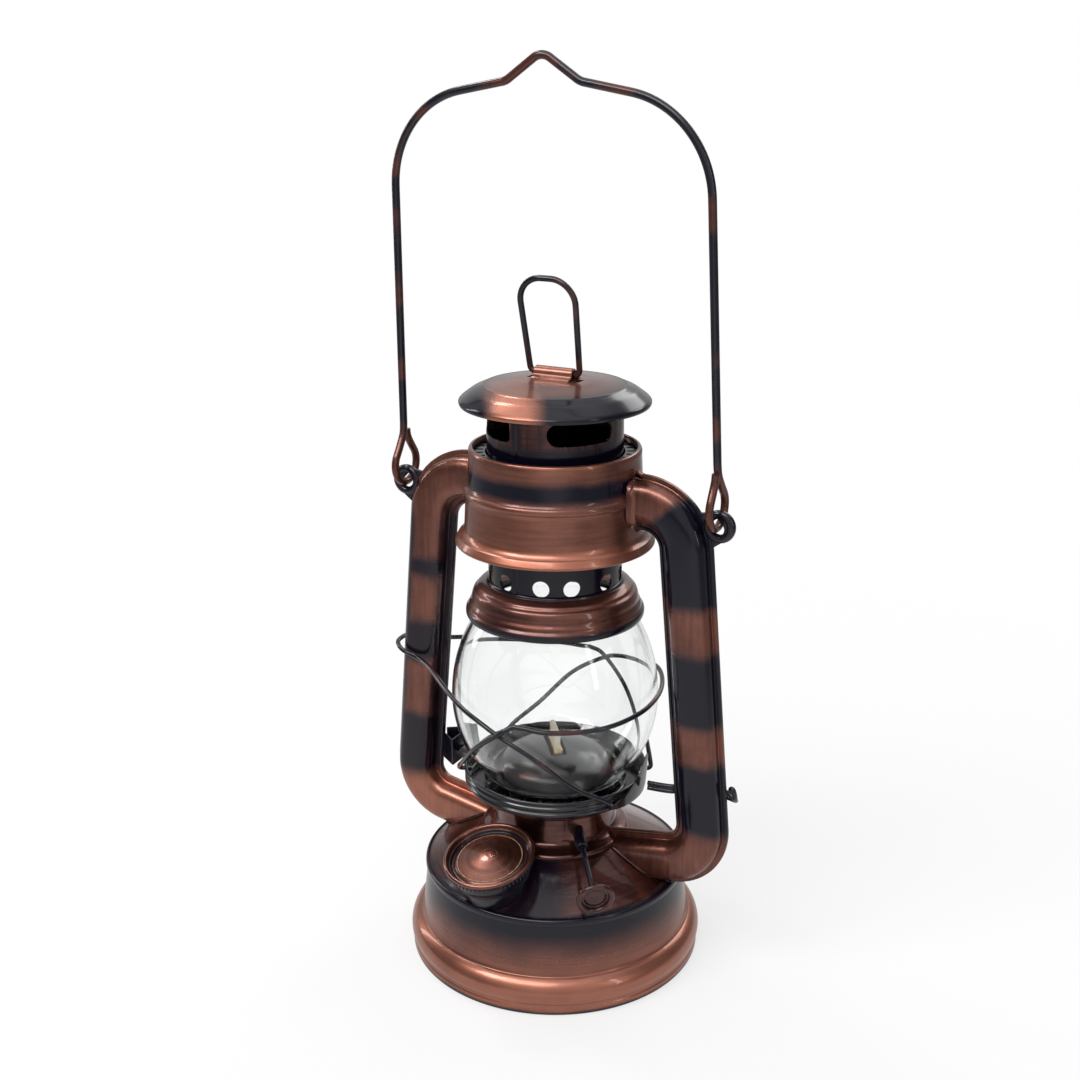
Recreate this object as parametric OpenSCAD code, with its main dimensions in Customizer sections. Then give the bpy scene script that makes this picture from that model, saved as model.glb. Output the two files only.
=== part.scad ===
// Small tubular hurricane lantern: kerosene tank, two stamped air tubes, lifting globe cage,
// sliding chimney, wick winder, screw filler cap and wire bail.
// The origin is the middle of the foot circle. +Z is up, +X is towards the tube with the globe
// lever, and -Y is the front, where the filler cap stands.

/* [Tank] */
// Radius of the foot that stands on the table
foot_r = 40.9; // [38:0.1:43]
// Height of the seam between the floor pan and the tank shell
seam_z = 3.4; // [2.5:0.1:4.2]
// Radius of the rolled bead round the base
bead_r = 5; // [4:0.1:5.6]
// Radius of the tank wall just above the bead
wall_low_r = 37.8; // [36.5:0.1:38.6]
// Outer radius of the crimped shoulder
crimp_r = 37.1; // [35.6:0.1:38]
// Height of the crimped shoulder
crimp_z = 26.1; // [23:0.1:28]
// Slope of the tank's conical top
top_slope = 30; // [26:1:33]
// Thickness of the tank's sheet
tank_sheet = 0.6; // [0.4:0.05:0.8]

/* [Air chamber] */
// Radius of the chamber's wall
chamber_r = 16.8; // [16:0.1:17.4]
// Radius of the flare at the foot of the chamber
chamber_foot_r = 20.8; // [19.8:0.1:21.6]
// Height of the chamber, from the tank's deck to its lip
chamber_h = 14; // [13:0.1:14.6]
// Radius of the flange under the globe plate
chamber_flange_r = 20.2; // [19.2:0.1:21]
// Width of the air port under each tube
port_w = 8; // [5:0.1:9]

/* [Air tubes] */
// Half width of a tube's body, in the plane of both tubes
tube_half_w = 6.3; // [5.6:0.1:6.6]
// Half depth of a tube's body, front to back
tube_half_d = 5.2; // [4.4:0.1:5.6]
// Squareness of the tube's section: 2 is an ellipse
tube_square = 2.9; // [2:0.1:3.6]
// How far the seam flange stands out from the body
tube_flange = 1.1; // [0.7:0.1:1.4]
// Thickness of the tube's sheet
tube_sheet = 0.5; // [0.4:0.05:0.6]
// Distance of the upper elbow's centre from the axis
head_elbow_x = 25.8; // [25:0.1:27]
// Height of the upper elbow's centre
head_elbow_z = 122; // [120:0.1:123]
// Radius of the upper elbow's middle line
head_elbow_r = 12.3; // [11:0.1:12.6]
// Distance of the lower elbow's centre from the axis
foot_elbow_x = 34; // [33:0.1:35]
// Height of the lower elbow's centre
foot_elbow_z = 44.9; // [43.5:0.1:46]
// Radius of the lower elbow's middle line
foot_elbow_r = 11; // [10.2:0.1:11.6]
// Downward slope of the tube's foot towards the tank
tube_dip = 10; // [4:1:14]
// Gap round the pieces that slide along the tubes
run_gap = 0.5; // [0.4:0.05:0.7]

/* [Hood] */
// Radius of the hood's top lip
hood_lip_r = 22.8; // [22.2:0.1:23.2]
// Height of the hood's top
hood_top_z = 146.4; // [145:0.1:147.2]
// Height of the hood's skirt rim
hood_rim_z = 120.6; // [119.4:0.1:121.4]
// Radius of the skirt rim
hood_rim_r = 26.7; // [25.8:0.1:27.6]
// Height of the bead round the hood
hood_bead_z = 134.6; // [133.4:0.1:135.6]
// Thickness of the hood's sheet
hood_sheet = 0.5; // [0.4:0.05:0.6]
// Number of louvre slits in the hood's top
louvres = 36; // [24:1:40]
// Width of a louvre slit
louvre_w = 1.3; // [0.8:0.1:1.6]

/* [Chimney] */
// Outer radius of the chimney tube
chimney_r = 18; // [17.4:0.1:18.4]
// Thickness of the chimney's sheet
chimney_sheet = 0.5; // [0.4:0.05:0.6]
// Radial gap between the chimney tube and the hood's top
chimney_gap = 0.9; // [0.8:0.05:1.1]
// Number of long slots under the cap
slots = 4; // [3:1:4]
// Angle that one slot takes
slot_sweep = 60; // [40:1:66]
// Height of a slot
slot_h = 5.9; // [4.5:0.1:6.2]
// Height of the middle of the slots above the hood's top
slot_rise = 6.7; // [5.8:0.1:7.6]
// Diameter of the round draught holes
draught_d = 4.5; // [3:0.1:5]
// Number of pairs of draught holes
draught_pairs = 6; // [4:1:6]
// Angle between the two holes of a pair
draught_pair_angle = 26; // [20:1:30]
// Height of the draught holes
draught_z = 112.3; // [112:0.1:114]
// Radius of the bell's lip
bell_r = 24.2; // [23.4:0.1:24.6]
// Height of the bell's lower edge
bell_z = 99.8; // [98.6:0.1:100.2]
// Radius of the cap's rim
cap_r = 25.05; // [24:0.05:26.5]
// Height of the cap's rim above the hood's top
cap_rise = 11.9; // [11.4:0.1:12.4]
// Height of the middle of the cap above its rim
cap_h = 5.9; // [5.2:0.1:6.6]
// How far the globe plate can be raised
lift_travel = 8; // [5:0.5:8]

/* [Lifting ring] */
// Radius of the ring's wire
ring_wire_r = 0.8; // [0.6:0.05:0.9]
// Height of the ring above its bar
ring_h = 25.4; // [22:0.2:30]
// Forward lean of the ring as it stands
ring_lean = 12; // [0:1:20]
// Bend radius of the ring's upper corners
ring_bend_r = 6.5; // [5:0.1:7.5]
// Length of the bridge that holds the ring
bridge_l = 11; // [9:0.1:11.8]

/* [Bail] */
// Radius of the bail's wire
bail_wire_r = 1.05; // [0.9:0.05:1.15]
// Height of the bail's peak above the table
bail_peak_z = 244.3; // [236:0.1:256]
// Distance of each bail eye from the middle
bail_eye_x = 46.5; // [46.2:0.1:48]
// How far the bail sits to the left in its ears
bail_shift = 0.6; // [0:0.1:0.6]
// Radius of the middle line of a bail eye
bail_eye_r = 5.2; // [4.8:0.1:5.8]
// Bend radius of the bail's shoulders
bail_bend_r = 25; // [22:0.5:29]
// Forward lean of the bail as it stands
bail_lean = 3; // [0:0.1:8]
// Height of the holes in the ears
ear_hole_z = 130.2; // [128.5:0.1:131]
// Radius of the round end of an ear
ear_r = 3.9; // [3.6:0.1:4.4]
// Thickness of an ear
ear_t = 1.2; // [0.8:0.1:1.6]
// Gap round the bail's wire in the ear's hole
ear_gap = 0.65; // [0.4:0.05:0.8]

/* [Globe] */
// Largest radius of the globe
globe_r = 28.5; // [27.5:0.1:29]
// Height of the globe's widest part
globe_mid_z = 76; // [75:0.1:77]
// Radius of the upper part of the globe's curve
globe_upper_curve = 43; // [40:0.5:46]
// Radius of the lower part of the globe's curve
globe_lower_curve = 33; // [31:0.5:35]
// Height of the globe's upright foot
globe_foot_h = 4.4; // [3.6:0.1:5.4]
// Thickness of the glass
glass_t = 1.2; // [0.9:0.1:1.4]

/* [Globe plate and cage] */
// Radius of the plate's rim
plate_r = 25.3; // [24.6:0.1:26]
// Height of the plate's rim above its floor
plate_rim_h = 5.4; // [4:0.1:6]
// Height of the plate's underside
plate_z = 49.4; // [49.2:0.1:49.8]
// Thickness of the plate's sheet
plate_sheet = 0.5; // [0.4:0.05:0.6]
// Number of holes in the plate's inner cone
plate_holes = 24; // [16:1:28]
// Radius of the cage wires
guard_wire_r = 0.65; // [0.5:0.05:0.75]
// Gap between the cage wires and the glass
guard_gap = 0.5; // [0.3:0.1:1]

/* [Burner] */
// Radius of the burner body
burner_r = 13.2; // [12:0.1:14]
// Radius of the burner dome
dome_r = 15.6; // [15:0.1:15.8]
// Height of the burner dome
dome_h = 9.6; // [8:0.1:11]
// Width of the wick
wick_w = 9.6; // [7:0.1:11]
// Thickness of the wick
wick_t = 1.4; // [1:0.1:1.8]
// Wall of the wick tube
wick_tube_wall = 0.4; // [0.3:0.05:0.5]
// Radius of the spur wheels
spur_r = 2.5; // [2.2:0.1:2.8]
// Radius of the winder shaft
shaft_r = 0.8; // [0.6:0.05:1]
// Compass direction of the winder shaft
shaft_az = -51.8; // [-60:0.1:-44]
// Downward slope of the winder shaft
shaft_dip = 15; // [10:1:18]
// Height of the shaft where it passes the wick
shaft_z = 45.9; // [45:0.1:46.5]
// Length of the shaft from the wick to the knob's face
shaft_l = 43.4; // [42:0.1:46]
// Radius of the wick knob
knob_r = 5.1; // [4.4:0.1:5.6]

/* [Filler] */
// Compass direction of the filler
filler_az = -97; // [-104:1:-90]
// Outward lean of the filler's axis
filler_lean = 15; // [10:1:18]
// Distance of the cap's top from the lantern's axis
filler_rho = 31.1; // [30.8:0.1:32]
// Height of the middle of the cap's top
filler_z = 40; // [39.6:0.1:41.2]
// Radius of the cap's rolled rim
filler_cap_r = 12.5; // [11.6:0.1:12.8]
// Height of the cap
filler_cap_h = 6.6; // [5.6:0.1:7]
// Outer radius of the filler neck
filler_neck_r = 8.9; // [8.2:0.1:9.2]
// Gap between the filler cap and the flat on the chamber's foot
filler_gap = 0.8; // [0.6:0.1:1]

/* [Hidden] */
$fn = 64;

// Colours
copper = [0.60, 0.30, 0.20];
dark_copper = [0.36, 0.20, 0.16];
black_lacquer = [0.09, 0.09, 0.10];
glass_tint = [0.85, 0.92, 0.95, 0.35];

// Small working values
far = 300;
through = 2;
seat = 0.02;

// Points on an arc in the plane, from angle a0 to a1 in n steps
function arc(cx, cy, r, a0, a1, n) = [for (i = [0:n]) let (a = a0 + (a1 - a0) * i / n) [cx + r * cos(a), cy + r * sin(a)]];

// Left-hand normal of one step of a line of points
function step_normal(a, b) = let (d = b - a, l = norm(d)) [-d[1] / l, d[0] / l];

// The same line of points moved to its left by t, with mitred corners
function moved(p, t) = [for (i = [0:len(p) - 1]) let (
    n1 = i == 0 ? step_normal(p[0], p[1]) : step_normal(p[i - 1], p[i]),
    n2 = i == len(p) - 1 ? n1 : step_normal(p[i], p[i + 1]),
    n = (n1 + n2) / (1 + n1 * n2)) p[i] + n * t];

function reversed(p) = [for (i = [len(p) - 1:-1:0]) p[i]];

// Spun sheet: a profile drawn up the outside, thickened inwards and turned about Z
module spun(profile, t) {
    rotate_extrude()
        polygon(concat(profile, reversed(moved(profile, t))));
}

// Solid of revolution under a profile, used to trim what meets a spun wall
module under(profile) {
    rotate_extrude()
        polygon(concat([[0, profile[0][1]]], profile, [[0, profile[len(profile) - 1][1]]]));
}

// A wire bent step by step: each step is [straight length, bend angle, bend radius].
// It starts along +Z, and a positive bend turns it towards +X. Lengths stop just short of each
// other inside a joint ball that is hardly thicker than the wire, so that the union is clean.
joint_gap = 0.03;
joint_ball = 1.02;
module wire_bend(angle, bend, r) {
    cut = joint_gap / bend * 180 / PI;
    translate([bend, 0, 0])
        rotate([90, 0, 0])
            rotate([0, 0, 180 - angle + cut])
                rotate_extrude(angle = angle - 2 * cut)
                    translate([bend, 0])
                        circle(r = r);
}
module bent_wire(steps, r, i = 0) {
    if (i < len(steps)) {
        run = steps[i][0];
        angle = steps[i][1];
        bend = steps[i][2];
        side = angle < 0 ? -1 : 1;
        sphere(r = r * joint_ball);
        if (run > 0)
            translate([0, 0, joint_gap])
                cylinder(r = r, h = run - 2 * joint_gap);
        translate([0, 0, run]) {
            if (run > 0)
                sphere(r = r * joint_ball);
            if (angle > 0)
                wire_bend(angle, bend, r);
            if (angle < 0)
                mirror([1, 0, 0])
                    wire_bend(-angle, bend, r);
            if (i < len(steps) - 1)
                translate([side * bend * (1 - cos(angle)), 0, bend * abs(sin(angle))])
                    rotate([0, angle, 0])
                        bent_wire(steps, r, i + 1);
        }
    }
}

// A smooth line through points, as a run of short steps
function spline_at(p, i, t) = let (
    a = p[max(i - 1, 0)], b = p[i], c = p[min(i + 1, len(p) - 1)], d = p[min(i + 2, len(p) - 1)])
    0.5 * (2 * b + (c - a) * t + (2 * a - 5 * b + 4 * c - d) * t * t + (3 * b - a - 3 * c + d) * t * t * t);
function spline(p, n) = concat([for (i = [0:len(p) - 2]) for (k = [0:n - 1]) spline_at(p, i, k / n)], [p[len(p) - 1]]);

// Frames carried along a line without twist, then the rings of a round wire
function unit(v) = v / norm(v);
function tangent(p, i) = unit(p[min(i + 1, len(p) - 1)] - p[max(i - 1, 0)]);
function carried(p, i, u) = let (t = tangent(p, i), w = u - (u * t) * t) unit(w);
function frames(p, i, u) = i >= len(p) ? [] : let (v = carried(p, i, u)) concat([v], frames(p, i + 1, v));
module swept_wire(p, r, sides = 8) {
    start = abs(tangent(p, 0) * [0, 0, 1]) < 0.9 ? [0, 0, 1] : [1, 0, 0];
    u = frames(p, 0, start);
    rings = [for (i = [0:len(p) - 1]) let (t = tangent(p, i), v = cross(t, u[i]))
        for (k = [0:sides - 1]) p[i] + r * (cos(360 * k / sides) * u[i] + sin(360 * k / sides) * v)];
    last = (len(p) - 1) * sides;
    faces = concat(
        [for (i = [0:len(p) - 2]) for (k = [0:sides - 1]) let (
            a = i * sides + k, b = i * sides + (k + 1) % sides) [a, a + sides, b + sides]],
        [for (i = [0:len(p) - 2]) for (k = [0:sides - 1]) let (
            a = i * sides + k, b = i * sides + (k + 1) % sides) [a, b + sides, b]],
        [for (k = [1:sides - 2]) [0, k, k + 1]],
        [for (k = [1:sides - 2]) [last, last + k + 1, last + k]]);
    polyhedron(points = rings, faces = faces);
}

// A point given by compass angle, radius and height
function polar(a, r, z) = [r * cos(a), r * sin(a), z];

// Tank outlines, drawn up the outside
bead_z = seam_z + 2.1;
bead_mid_r = foot_r + 0.6 - bead_r;
shell_top_z = crimp_z - 0.5;
crimp_low_z = crimp_z - 1.7;
deck_r = chamber_foot_r + 0.2;
deck_z = crimp_z + 0.8 + (crimp_r - 1.9 - deck_r) * tan(top_slope);
burner_hole_r = burner_r - 1.6;
collar_z = deck_z + 2.6;
function floor_outline() = [[0, seam_z - 1.6], [foot_r - 3.6, seam_z - 1.6], [foot_r - 2.4, 0], [foot_r, 0], [foot_r, seam_z]];
function shell_outline() = concat(
    arc(bead_mid_r, bead_z, bead_r, asin((seam_z - bead_z) / bead_r), 58, 6),
    [[wall_low_r, bead_z + bead_r + 0.3], [crimp_r - tank_sheet - seat, crimp_low_z - 0.3],
     [crimp_r - tank_sheet - seat, shell_top_z]]);
function top_outline() = [[crimp_r, crimp_low_z], [crimp_r, crimp_z - 0.2], [crimp_r - 0.5, crimp_z + 0.4],
    [crimp_r - 1.9, crimp_z + 0.8], [deck_r, deck_z], [burner_hole_r + 1, deck_z],
    [burner_hole_r, deck_z + 1], [burner_hole_r, collar_z]];
chamber_top_z = deck_z + chamber_h;
function chamber_outline() = [[chamber_foot_r, deck_z], [chamber_foot_r, deck_z + 0.7],
    [chamber_foot_r - 0.6, deck_z + 1.2], [chamber_r + 1.4, deck_z + 2], [chamber_r, deck_z + 3.2], [chamber_r, chamber_top_z - 3.9],
    [chamber_r + 0.7, chamber_top_z - 3], [chamber_flange_r, chamber_top_z - 2.4],
    [chamber_flange_r + 0.2, chamber_top_z - 1.5], [chamber_flange_r - 0.3, chamber_top_z - 0.6],
    [chamber_flange_r - 2, chamber_top_z], [chamber_r, chamber_top_z]];

// Filler placement
module at_filler() {
    translate(polar(filler_az, filler_rho, filler_z))
        rotate([0, 0, filler_az])
            rotate([0, filler_lean, 0])
                children();
}
neck_wall = 0.6;
neck_top = -2.6;
neck_len = 14;
filler_sheet = 0.6;
thread_gap = 1;
skirt_r = filler_neck_r + thread_gap + filler_sheet;
skirt_flare = 0.7;
foot_flat_x = filler_rho - skirt_r * cos(filler_lean) - filler_cap_h * sin(filler_lean) - filler_gap;

// Tubes: the long straight run is the tangent to both elbows
elbow_dx = foot_elbow_x - head_elbow_x;
elbow_dz = foot_elbow_z - head_elbow_z;
elbow_d = norm([elbow_dx, elbow_dz]);
splay = atan2(elbow_dx, -elbow_dz) - asin((head_elbow_r - foot_elbow_r) / elbow_d);
run_len = sqrt(elbow_d * elbow_d - pow(head_elbow_r - foot_elbow_r, 2));
tube_edge = tube_half_w + tube_flange;
function tube_mid_x(z) = head_elbow_x + head_elbow_r / cos(splay) + (head_elbow_z - z) * tan(splay);
tube_head_x = hood_lip_r - 4;
tube_foot_x = chamber_r - 2;
dip_start = [foot_elbow_x + foot_elbow_r * sin(tube_dip), foot_elbow_z - foot_elbow_r * cos(tube_dip)];
dip_len = (dip_start[0] - tube_foot_x) / cos(tube_dip);

// Half of the tube's section: a rounded shell with a seam flange at both edges
function rounded(a, b, s, n) = [for (i = [1:n - 1]) let (t = 180 * i / n)
    [-a * sign(cos(t)) * pow(abs(cos(t)), 2 / s), b * pow(sin(t), 2 / s)]];
module half_section(grow, seat) {
    a = tube_half_w + grow;
    b = tube_half_d + grow;
    inner_a = tube_half_w - tube_sheet - seat;
    inner_b = tube_half_d - tube_sheet - seat;
    edge = a + tube_flange;
    flange_t = tube_sheet + seat;
    polygon(concat(
        [[-edge, 0], [-edge, flange_t], [-a, flange_t]],
        rounded(a, b, tube_square, 14),
        [[a, flange_t], [edge, flange_t], [edge, 0], [inner_a, 0]],
        reversed(rounded(inner_a, inner_b, tube_square, 14)),
        [[-inner_a, 0]]));
}

// Straight lengths lap into the elbows by a hair, with a wall that is a hair thicker
lap = 0.1;
// Straight length of tube that starts at p, where n is the compass angle of its outer edge
module tube_run(p, n, l, grow = seat) {
    translate([p[0], p[1], 0])
        rotate([0, 0, n])
            rotate([90, 0, 0])
                linear_extrude(height = l)
                    half_section(grow, seat);
}
module tube_elbow(x, z, r, a0, a1) {
    translate([x, z, 0])
        rotate([0, 0, a0])
            rotate_extrude(angle = a1 - a0)
                translate([r, 0])
                    half_section(0, 0);
}
// The right tube's front half in its own plane, with the thickness along +Z
module tube_half_flat() {
    head = [tube_head_x, head_elbow_z + head_elbow_r];
    run_start = [head_elbow_x + head_elbow_r * cos(splay), head_elbow_z + head_elbow_r * sin(splay)];
    tube_run(head, 90, head_elbow_x - tube_head_x + lap);
    tube_elbow(head_elbow_x, head_elbow_z, head_elbow_r, splay, 90);
    tube_run(run_start - lap * [sin(splay), -cos(splay)], splay, run_len + 2 * lap);
    tube_elbow(foot_elbow_x, foot_elbow_z, foot_elbow_r, tube_dip - 90, splay);
    tube_run(dip_start + lap * [cos(tube_dip), sin(tube_dip)], tube_dip - 90, dip_len + lap);
    // Collar that is pressed against the hood
    tube_run(head, 90, hood_wall_r - tube_head_x + collar_l, collar_t);
}
collar_l = 0.9;
collar_t = 0.8;
module tube_half() {
    difference() {
        rotate([90, 0, 0])
            tube_half_flat();
        under(hood_outline());
        under(top_outline());
        under(chamber_outline());
        cylinder(r = crimp_r, h = crimp_z);
    }
}

// Hood outline, from the skirt rim up to the lip
hood_wall_r = hood_lip_r + 0.9;
function hood_outline() = concat(
    [[hood_rim_r, hood_rim_z], [hood_rim_r - 0.2, hood_rim_z + 0.7]],
    arc(hood_wall_r + 3.2, hood_rim_z + 4.4, 2.7, 240, 182, 4),
    [[hood_wall_r, hood_bead_z - 1.8]],
    arc(hood_wall_r - 0.7, hood_bead_z, 1.3, -48, 60, 4),
    [[hood_lip_r + 0.4, hood_bead_z + 1.8], [hood_lip_r, hood_top_z - 2.6], [hood_lip_r, hood_top_z - 0.8],
     [hood_lip_r - 0.3, hood_top_z - 0.2], [hood_lip_r - 0.8, hood_top_z]]);

// Chimney outlines
bell_joint_z = draught_z - draught_d / 2 - 0.2;
bell_lap = 0.3;
slot_z = hood_top_z + slot_rise;
cap_z = hood_top_z + cap_rise;
cap_top_z = cap_z + cap_h;
crease_r = cap_r * 0.745;
crease_z = cap_z + 0.71 * cap_h;
tube_top_z = crease_z - chimney_sheet;
function bell_outline() = [[bell_r - 0.2, bell_z], [bell_r, bell_z + 0.8], [bell_r - 0.1, bell_z + 2.1],
    [bell_r - 0.9, bell_z + 3.6], [bell_r - 1.7, bell_z + 4.6], [bell_r - 1.7, bell_z + 5.6],
    [bell_r - 2.2, bell_z + 7], [bell_r - 3, bell_z + 7.9], [bell_r - 3.5, bell_z + 8.4],
    [bell_r - 4.8, bell_z + 9.3], [chimney_r + chimney_sheet + seat, bell_joint_z - bell_lap - 0.1],
    [chimney_r + chimney_sheet + seat, bell_joint_z]];
function cap_outline() = [[cap_r, cap_z - 0.7], [cap_r + 0.1, cap_z + 0.2], [cap_r - 0.4, cap_z + 0.9],
    [crease_r + 3, crease_z - 1.1], [crease_r, crease_z], [1, cap_top_z], [0, cap_top_z]];

// Globe outline, from the seat to the upper edge
globe_seat_z = plate_z + plate_sheet;
globe_top_z = bell_z + 1.6;
globe_low_dz = globe_mid_z - globe_seat_z - globe_foot_h;
globe_foot_r = globe_r - globe_lower_curve + sqrt(pow(globe_lower_curve, 2) - pow(globe_low_dz, 2)) - 0.3;
globe_high_dz = globe_top_z - globe_mid_z - 1.2;
function globe_outline() = concat(
    [[globe_foot_r, globe_seat_z], [globe_foot_r, globe_seat_z + globe_foot_h / 2]],
    arc(globe_r - globe_lower_curve, globe_mid_z, globe_lower_curve, -asin(globe_low_dz / globe_lower_curve), 0, 9),
    arc(globe_r - globe_upper_curve, globe_mid_z, globe_upper_curve, asin(globe_high_dz / globe_upper_curve) / 9,
        asin(globe_high_dz / globe_upper_curve), 8),
    [[globe_r - globe_upper_curve + sqrt(pow(globe_upper_curve, 2) - pow(globe_high_dz, 2)), globe_top_z]]);

// Burner heights and the winder's line
dome_z = plate_z + 1;
wick_top_z = dome_z + dome_h + 2.2;
wick_low_z = seam_z + 6;
wick_gap = 0.1;
spur_gap = 0.08;
shaft_side = wick_t / 2 + spur_r + spur_gap;
module at_shaft() {
    translate(concat([-sin(shaft_az) * shaft_side, cos(shaft_az) * shaft_side], [shaft_z]))
        rotate([0, 0, shaft_az])
            rotate([0, 90 + shaft_dip, 0])
                children();
}

// Tank floor pan with its foot ring
module tank_floor() {
    color(copper)
        spun(floor_outline(), tank_sheet);
}

// Tank wall with the rolled bead
module tank_shell() {
    color(copper)
        spun(shell_outline(), tank_sheet);
}

// Conical top, crimped over the wall, with the filler hole
module tank_top() {
    color(dark_copper)
        difference() {
            spun(top_outline(), tank_sheet);
            at_filler()
                translate([0, 0, -filler_z])
                    cylinder(r = filler_neck_r - neck_wall, h = filler_z);
        }
}

// Filler neck, trimmed to the cone it stands on
module filler_neck() {
    color(black_lacquer)
        difference() {
            at_filler()
                translate([0, 0, neck_top - neck_len])
                    difference() {
                        cylinder(r = filler_neck_r, h = neck_len);
                        translate([0, 0, -through])
                            cylinder(r = filler_neck_r - neck_wall, h = neck_len + 2 * through);
                    }
            under(top_outline());
            cylinder(r = far, h = crimp_z - 0.2);
        }
}

// Cork ring inside the filler cap
gasket_t = 1;
module filler_gasket() {
    color([0.45, 0.33, 0.22])
        at_filler()
            translate([0, 0, neck_top + seat])
                difference() {
                    cylinder(r = filler_neck_r + 0.1, h = gasket_t);
                    translate([0, 0, -through])
                        cylinder(r = filler_neck_r - 2, h = gasket_t + 2 * through);
                }
}

// Screw cap: rolled rim, dished face and tapered skirt
module filler_cap() {
    face = neck_top + gasket_t + 0.1 + filler_sheet;
    color(black_lacquer)
        at_filler()
            spun([[skirt_r, -filler_cap_h], [skirt_r + skirt_flare, -filler_cap_h + 2.2], [filler_cap_r - 0.7, -2.2],
                [filler_cap_r, -1.6], [filler_cap_r, -0.6], [filler_cap_r - 0.6, 0], [filler_cap_r - 1.4, 0],
                [filler_cap_r - 2, -0.7], [1, face], [0, face]], filler_sheet);
}

// Air chamber between the tank and the globe plate, with a port under each tube
module air_chamber() {
    color(copper)
        difference() {
            spun(chamber_outline(), tank_sheet);
            for (side = [0, 180])
                rotate([0, 0, side])
                    translate([chamber_r - 4, -port_w / 2, deck_z + 0.6])
                        cube([8, port_w, 2.6]);
            at_shaft()
                cylinder(r = sleeve_r, h = shaft_l);
            // Flat on the chamber's foot, behind the filler cap
            rotate([0, 0, filler_az])
                translate([foot_flat_x, -chamber_foot_r, deck_z - through])
                    cube([chamber_foot_r, 2 * chamber_foot_r, 2 * through]);
        }
}

// The two halves of the right tube, and the left tube as their mirror images
module tube_right_front() {
    color(dark_copper)
        tube_half();
}
module tube_right_back() {
    color(dark_copper)
        mirror([0, 1, 0])
            tube_half();
}
module tube_left_front() {
    color(dark_copper)
        mirror([1, 0, 0])
            tube_half();
}
module tube_left_back() {
    color(dark_copper)
        rotate([0, 0, 180])
            tube_half();
}

// Hood drum with bead and flared skirt, and a port for each tube
module hood() {
    color(copper)
        difference() {
            spun(hood_outline(), hood_sheet);
            for (side = [0, 180])
                rotate([0, 0, side])
                    translate([hood_lip_r - 3, -tube_half_d + 1.4, head_elbow_z + head_elbow_r - tube_half_w + 1.4])
                        cube([6, 2 * tube_half_d - 2.8, 2 * tube_half_w - 2.8]);
        }
}

// Louvred disc that closes the hood round the chimney
hood_disc_z = hood_top_z - 2;
module hood_top() {
    disc_r = hood_lip_r - hood_sheet;
    hole_r = chimney_r + chimney_gap;
    color(dark_copper)
        difference() {
            translate([0, 0, hood_disc_z])
                cylinder(r = disc_r, h = hood_sheet);
            translate([0, 0, hood_disc_z - through])
                cylinder(r = hole_r, h = hood_sheet + 2 * through);
            for (k = [0:louvres - 1])
                rotate([0, 0, 360 * (k + 0.5) / louvres])
                    translate([hole_r + 0.6, -louvre_w / 2, hood_disc_z - through])
                        cube([disc_r - hole_r - 1.2, louvre_w, hood_sheet + 2 * through]);
        }
}

// Ear plate on a tube's shoulder, with the slot that the bail's eye runs through
ear_hole_r = bail_wire_r + ear_gap;
module ear() {
    cx = bail_eye_x + 0.3;
    cz = ear_hole_z + 0.6;
    edge_r = head_elbow_r + tube_edge + seat;
    root_r = edge_r - 0.4;
    tangent_r = ear_r - 0.1;
    slot = [-1.9, 2];
    color(black_lacquer)
        translate([0, ear_t / 2, 0])
            rotate([90, 0, 0])
                difference() {
                    union() {
                        translate([cx, cz, 0])
                            cylinder(r = ear_r, h = ear_t);
                        linear_extrude(height = ear_t)
                            polygon([[head_elbow_x + root_r * cos(37), head_elbow_z + root_r * sin(37)],
                                [cx + tangent_r * cos(78), cz + tangent_r * sin(78)],
                                [cx + tangent_r * cos(62), cz - tangent_r * sin(62)],
                                [head_elbow_x + root_r * cos(8), head_elbow_z + root_r * sin(8)]]);
                    }
                    translate([head_elbow_x, head_elbow_z, -1])
                        cylinder(r = edge_r, h = ear_t + 2);
                    translate([bail_eye_x, ear_hole_z, -1]) {
                        cylinder(r = ear_hole_r, h = ear_t + 2);
                        translate([slot[0], slot[1], 0])
                            cylinder(r = ear_hole_r, h = ear_t + 2);
                        rotate([0, 0, atan2(slot[1], slot[0])])
                            translate([0, -ear_hole_r, 0])
                                cube([norm(slot), 2 * ear_hole_r, ear_t + 2]);
                    }
                }
}
module ear_right() {
    ear();
}
module ear_left() {
    mirror([1, 0, 0])
        ear();
}

// Burner body that screws into the tank's deck
module burner_base() {
    color([0.55, 0.43, 0.22])
        difference() {
            union() {
                translate([0, 0, deck_z - 3])
                    cylinder(r = burner_hole_r - tank_sheet - seat, h = 6);
                translate([0, 0, collar_z + seat])
                    cylinder(r = burner_r, h = dome_z - collar_z - seat);
            }
            translate([0, 0, collar_z + 2])
                cylinder(r = burner_r - 1, h = far);
            rotate([0, 0, shaft_az])
                translate([-wick_w / 2 - wick_tube_wall, -wick_t / 2 - wick_tube_wall - wick_gap, 0])
                    cube([wick_w + 2 * wick_tube_wall, wick_t + 2 * (wick_tube_wall + wick_gap), far]);
            at_shaft()
                cylinder(r = shaft_r + shaft_gap, h = shaft_l);
        }
}

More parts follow.
